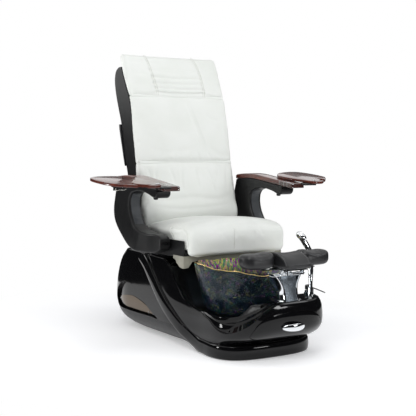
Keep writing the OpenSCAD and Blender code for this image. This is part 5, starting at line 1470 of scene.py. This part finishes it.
for side, word, swing in ((-1, "left", 0), (1, "right", 25)):
    body, tray_body = "arm_" + word, "swing_tray_" + word
    put(arm(side, "arm_shell_" + word + "_skin"), body, PLASTIC, "satin_black", "arm_shell_" + word)
    inset = [[Vector((side * x, y - d, z)) for x, d in inset_section] for y, z in through(inner_pts[6:15], 5)]
    put(loft("arm_inset_" + word, inset, 40), body, RECESS_GREY, "satin_black")
    put(cap("arm_cap_" + word + "_wood", side, -290, 124, 0.6, 1), body, WOOD, "mahogany", "arm_cap_" + word)
    put(cap("end_block", side, -398, -291, 1, 0.6), body, DARK_WOOD, "mahogany_dark", "tray_hinge_" + word)
    trims = [strip(side, y, 1.1, -0.15) for y in (-360, -331)]
    trims.append(strip(side, -290.5, 0.9, 0.4))
    trims.append(block("bar", (side * 344 - 1.6, -398.6, 786), (side * 344 + 1.6, -396, 805), 0.5))
    put(join("arm_trim_" + word, trims), body, CHROME, "chrome_trim")
    m = tray_matrix(side)
    tongue = placed(block("tongue", (-68, -16, -6), (0, 40, 1), 1.0), m)
    eye = turned("eye", [(0.2, -6), (15.6, -6), (16, -5.5), (16, 0.5), (15.6, 1), (0.2, 1)], m)
    put(join("tray_tongue_" + word, [tongue, eye]), body, PLASTIC, "satin_black")
    pin = turned("pin", [(0.2, 0.5), (5.9, 0.5), (5.9, 16), (10.4, 16.2), (11, 16.8), (10.6, 18.2), (9, 18.7),
                         (4.4, 18.7), (3.6, 17.4), (0.2, 17.4)], m, 40)
    put(pin, body, STEEL, "screw_steel")
    m = tray_matrix(side, swing)
    put(board("tray_board_" + word, m), tray_body, WOOD, "mahogany", "tray_" + word)
    carrier = [placed(block(*corners), m) for corners in (
        ("carrier", (40, 52, -5.5), (206, 74, 1.4), 1.2), ("lug", (176, 56, -20.5), (202, 60, -4), 0.8),
        ("lug", (120, 56, -14.5), (150, 60, -4), 0.8))]
    put(join("tray_carrier_" + word, carrier), tray_body, PLASTIC, "satin_black", "tray_bracket_" + word)
    put(tube("tray_spring_" + word, [m @ p for p in spring_line], 1.5), tray_body, STITCH, "satin_black")
    screws = [turned("screw", [(0.2, -8.2), (2.2, -8.2), (4, -7.4), (4.4, -5.4), (0.2, -5.4)],
                     m @ Matrix.Translation((x, 66, 0)), 20) for x in (60, 100, 150, 194)]
    put(join("carrier_screws_" + word, screws), tray_body, STEEL, "screw_steel")
    knob = turned("under_knob", [(0.2, -16), (7, -16), (11, -13), (12, -8), (10, -2), (6, 2), (6, 12),
                                 (0.2, 12)],
                  Matrix.Translation((side * (ARM_IN + 40), -230, 752)), 36)
    put(knob, body, PLASTIC, "satin_black")

# ---------------------------------------------------------------- jet cap on the bowl's floor
jet = Matrix.Translation((*JET_AT, GLASS_TOP + 4.4))
cover = turned("jet_dome", [(30.2, 0.2), (33.4, 0.2), (34, 0.9), (34, 7.4), (33, 9), (29, 11.2), (23.4, 13),
                            (18, 13.4), (0.2, 13.4), (0.2, 8.2), (30.2, 8.2)], jet, 64)
for k in range(6):
    hole = jet @ turn(60 * k, "Z") @ Matrix.Translation((15, 0, 0))
    cut(cover, turned("cutter", [(4, -4), (4, 20)], hole, 20))
put(shade(cover, 35), "base", CHROME, "chrome_trim", "jet_cap")

# ---------------------------------------------------------------- studio
def seen_rays(t):
    """1 for camera, glossy and transmission rays."""
    rays = t.nodes.new("ShaderNodeLightPath")
    total = rays.outputs["Is Camera Ray"]
    for kind in ("Is Glossy Ray", "Is Transmission Ray"):
        n = t.nodes.new("ShaderNodeMath")
        n.operation = "ADD"
        n.use_clamp = True
        t.links.new(total, n.inputs[0])
        t.links.new(rays.outputs[kind], n.inputs[1])
        total = n.outputs[0]
    return total


# white floor: lit near the chair, so that it keeps the shadow, and plain white further out
FLOOR_HALF = 9000
corners = [(x * FLOOR_HALF, y * FLOOR_HALF, -0.6) for x, y in ((-1, -1), (1, -1), (1, 1), (-1, 1))]
floor = make("floor", corners, [(0, 1, 2, 3)])
ground = Mat("floor", (0.92, 0.92, 0.92), 0.8, Specular_IOR_Level=0.1)
lit = ground.node("ShaderNodeAddShader")
ground.link(ground.b.outputs[0], lit.inputs[0])
ground.link(ground.glow(0.3), lit.inputs[1])
away = ground.vectors("LENGTH", ground.scaled((1.0, 0.85, 1.0)), output="Value")
far = ground.span(away, "From", 0.75, 1.5)
far.interpolation_type = "SMOOTHSTEP"
show = ground.math("MULTIPLY", far.outputs["Result"], seen_rays(ground.t))
ground.surface(show, lit.outputs[0], ground.glow(1))
floor.data.materials.append(ground.m)

# dark studio curtain, which only reflections show
ring = [(2400 * cos(a), 2400 * sin(a)) for a in around(72)]
curtain = make("curtain", [(x, y, z) for z in (2, 1300) for x, y in ring],
               [(k, (k + 1) % 72, 72 + (k + 1) % 72, 72 + k) for k in range(72)])
curtain.data.materials.append(satin("curtain_black", (0.012, 0.012, 0.013), 0.8, spec=0.05, scale=90))
for flag in ("visible_camera", "visible_diffuse", "visible_shadow", "visible_transmission"):
    setattr(curtain, flag, False)

world = bpy.data.worlds.new("studio")
scene.world = world
world.use_nodes = True
t = world.node_tree
t.nodes.clear()
seen = t.nodes.new("ShaderNodeBackground")
seen.inputs["Color"].default_value = (1, 1, 1, 1)
seen.inputs["Strength"].default_value = 1
unseen = t.nodes.new("ShaderNodeBackground")
unseen.inputs["Color"].default_value = (0.93, 0.95, 1, 1)
unseen.inputs["Strength"].default_value = 0.42
mixed = t.nodes.new("ShaderNodeMixShader")
t.links.new(seen_rays(t), mixed.inputs[0])
t.links.new(unseen.outputs[0], mixed.inputs[1])
t.links.new(seen.outputs[0], mixed.inputs[2])
out = t.nodes.new("ShaderNodeOutputWorld")
t.links.new(mixed.outputs[0], out.inputs["Surface"])


def area(name, at, aim, size, power, color=(1, 1, 1)):
    light = bpy.data.lights.new(name, "AREA")
    light.shape = "RECTANGLE"
    light.size, light.size_y = size
    light.energy = power
    light.color = color
    o = bpy.data.objects.new(name, light)
    scene.collection.objects.link(o)
    o.location = at
    o.rotation_euler = (Vector(aim) - Vector(at)).to_track_quat("-Z", "Y").to_euler()
    return o


area("key", (-2.2, -3.0, 3.6), (0, -0.1, 0.6), (1.8, 1.2), 58)
area("fill", (2.9, -3.2, 2.4), (0.1, -0.2, 0.6), (1.4, 2.0), 34, (0.95, 0.97, 1))
area("top", (0.1, -0.9, 4.4), (0, -0.3, 0.3), (2.6, 1.6), 33)
area("rim", (-2.6, 2.2, 2.2), (0, 0.1, 0.8), (0.9, 2.0), 26)
area("window", (-2.2, 0.05, 0.5), (-0.27, -0.5, 0.1), (0.26, 0.4), 7)
area("low_window", (0.55, -2.1, 0.42), (0.05, -0.8, 0.2), (0.5, 0.14), 3)

camera_data = bpy.data.cameras.new("camera")
camera_data.lens = 77.24
camera_data.sensor_width = 36
camera = bpy.data.objects.new("camera", camera_data)
scene.collection.objects.link(camera)
camera.location = (-2.4754, -4.1098, 0.9700)
camera.rotation_euler = (radians(86.432), 0, radians(-31.78))
scene.camera = camera
scene.view_settings.view_transform = "Standard"
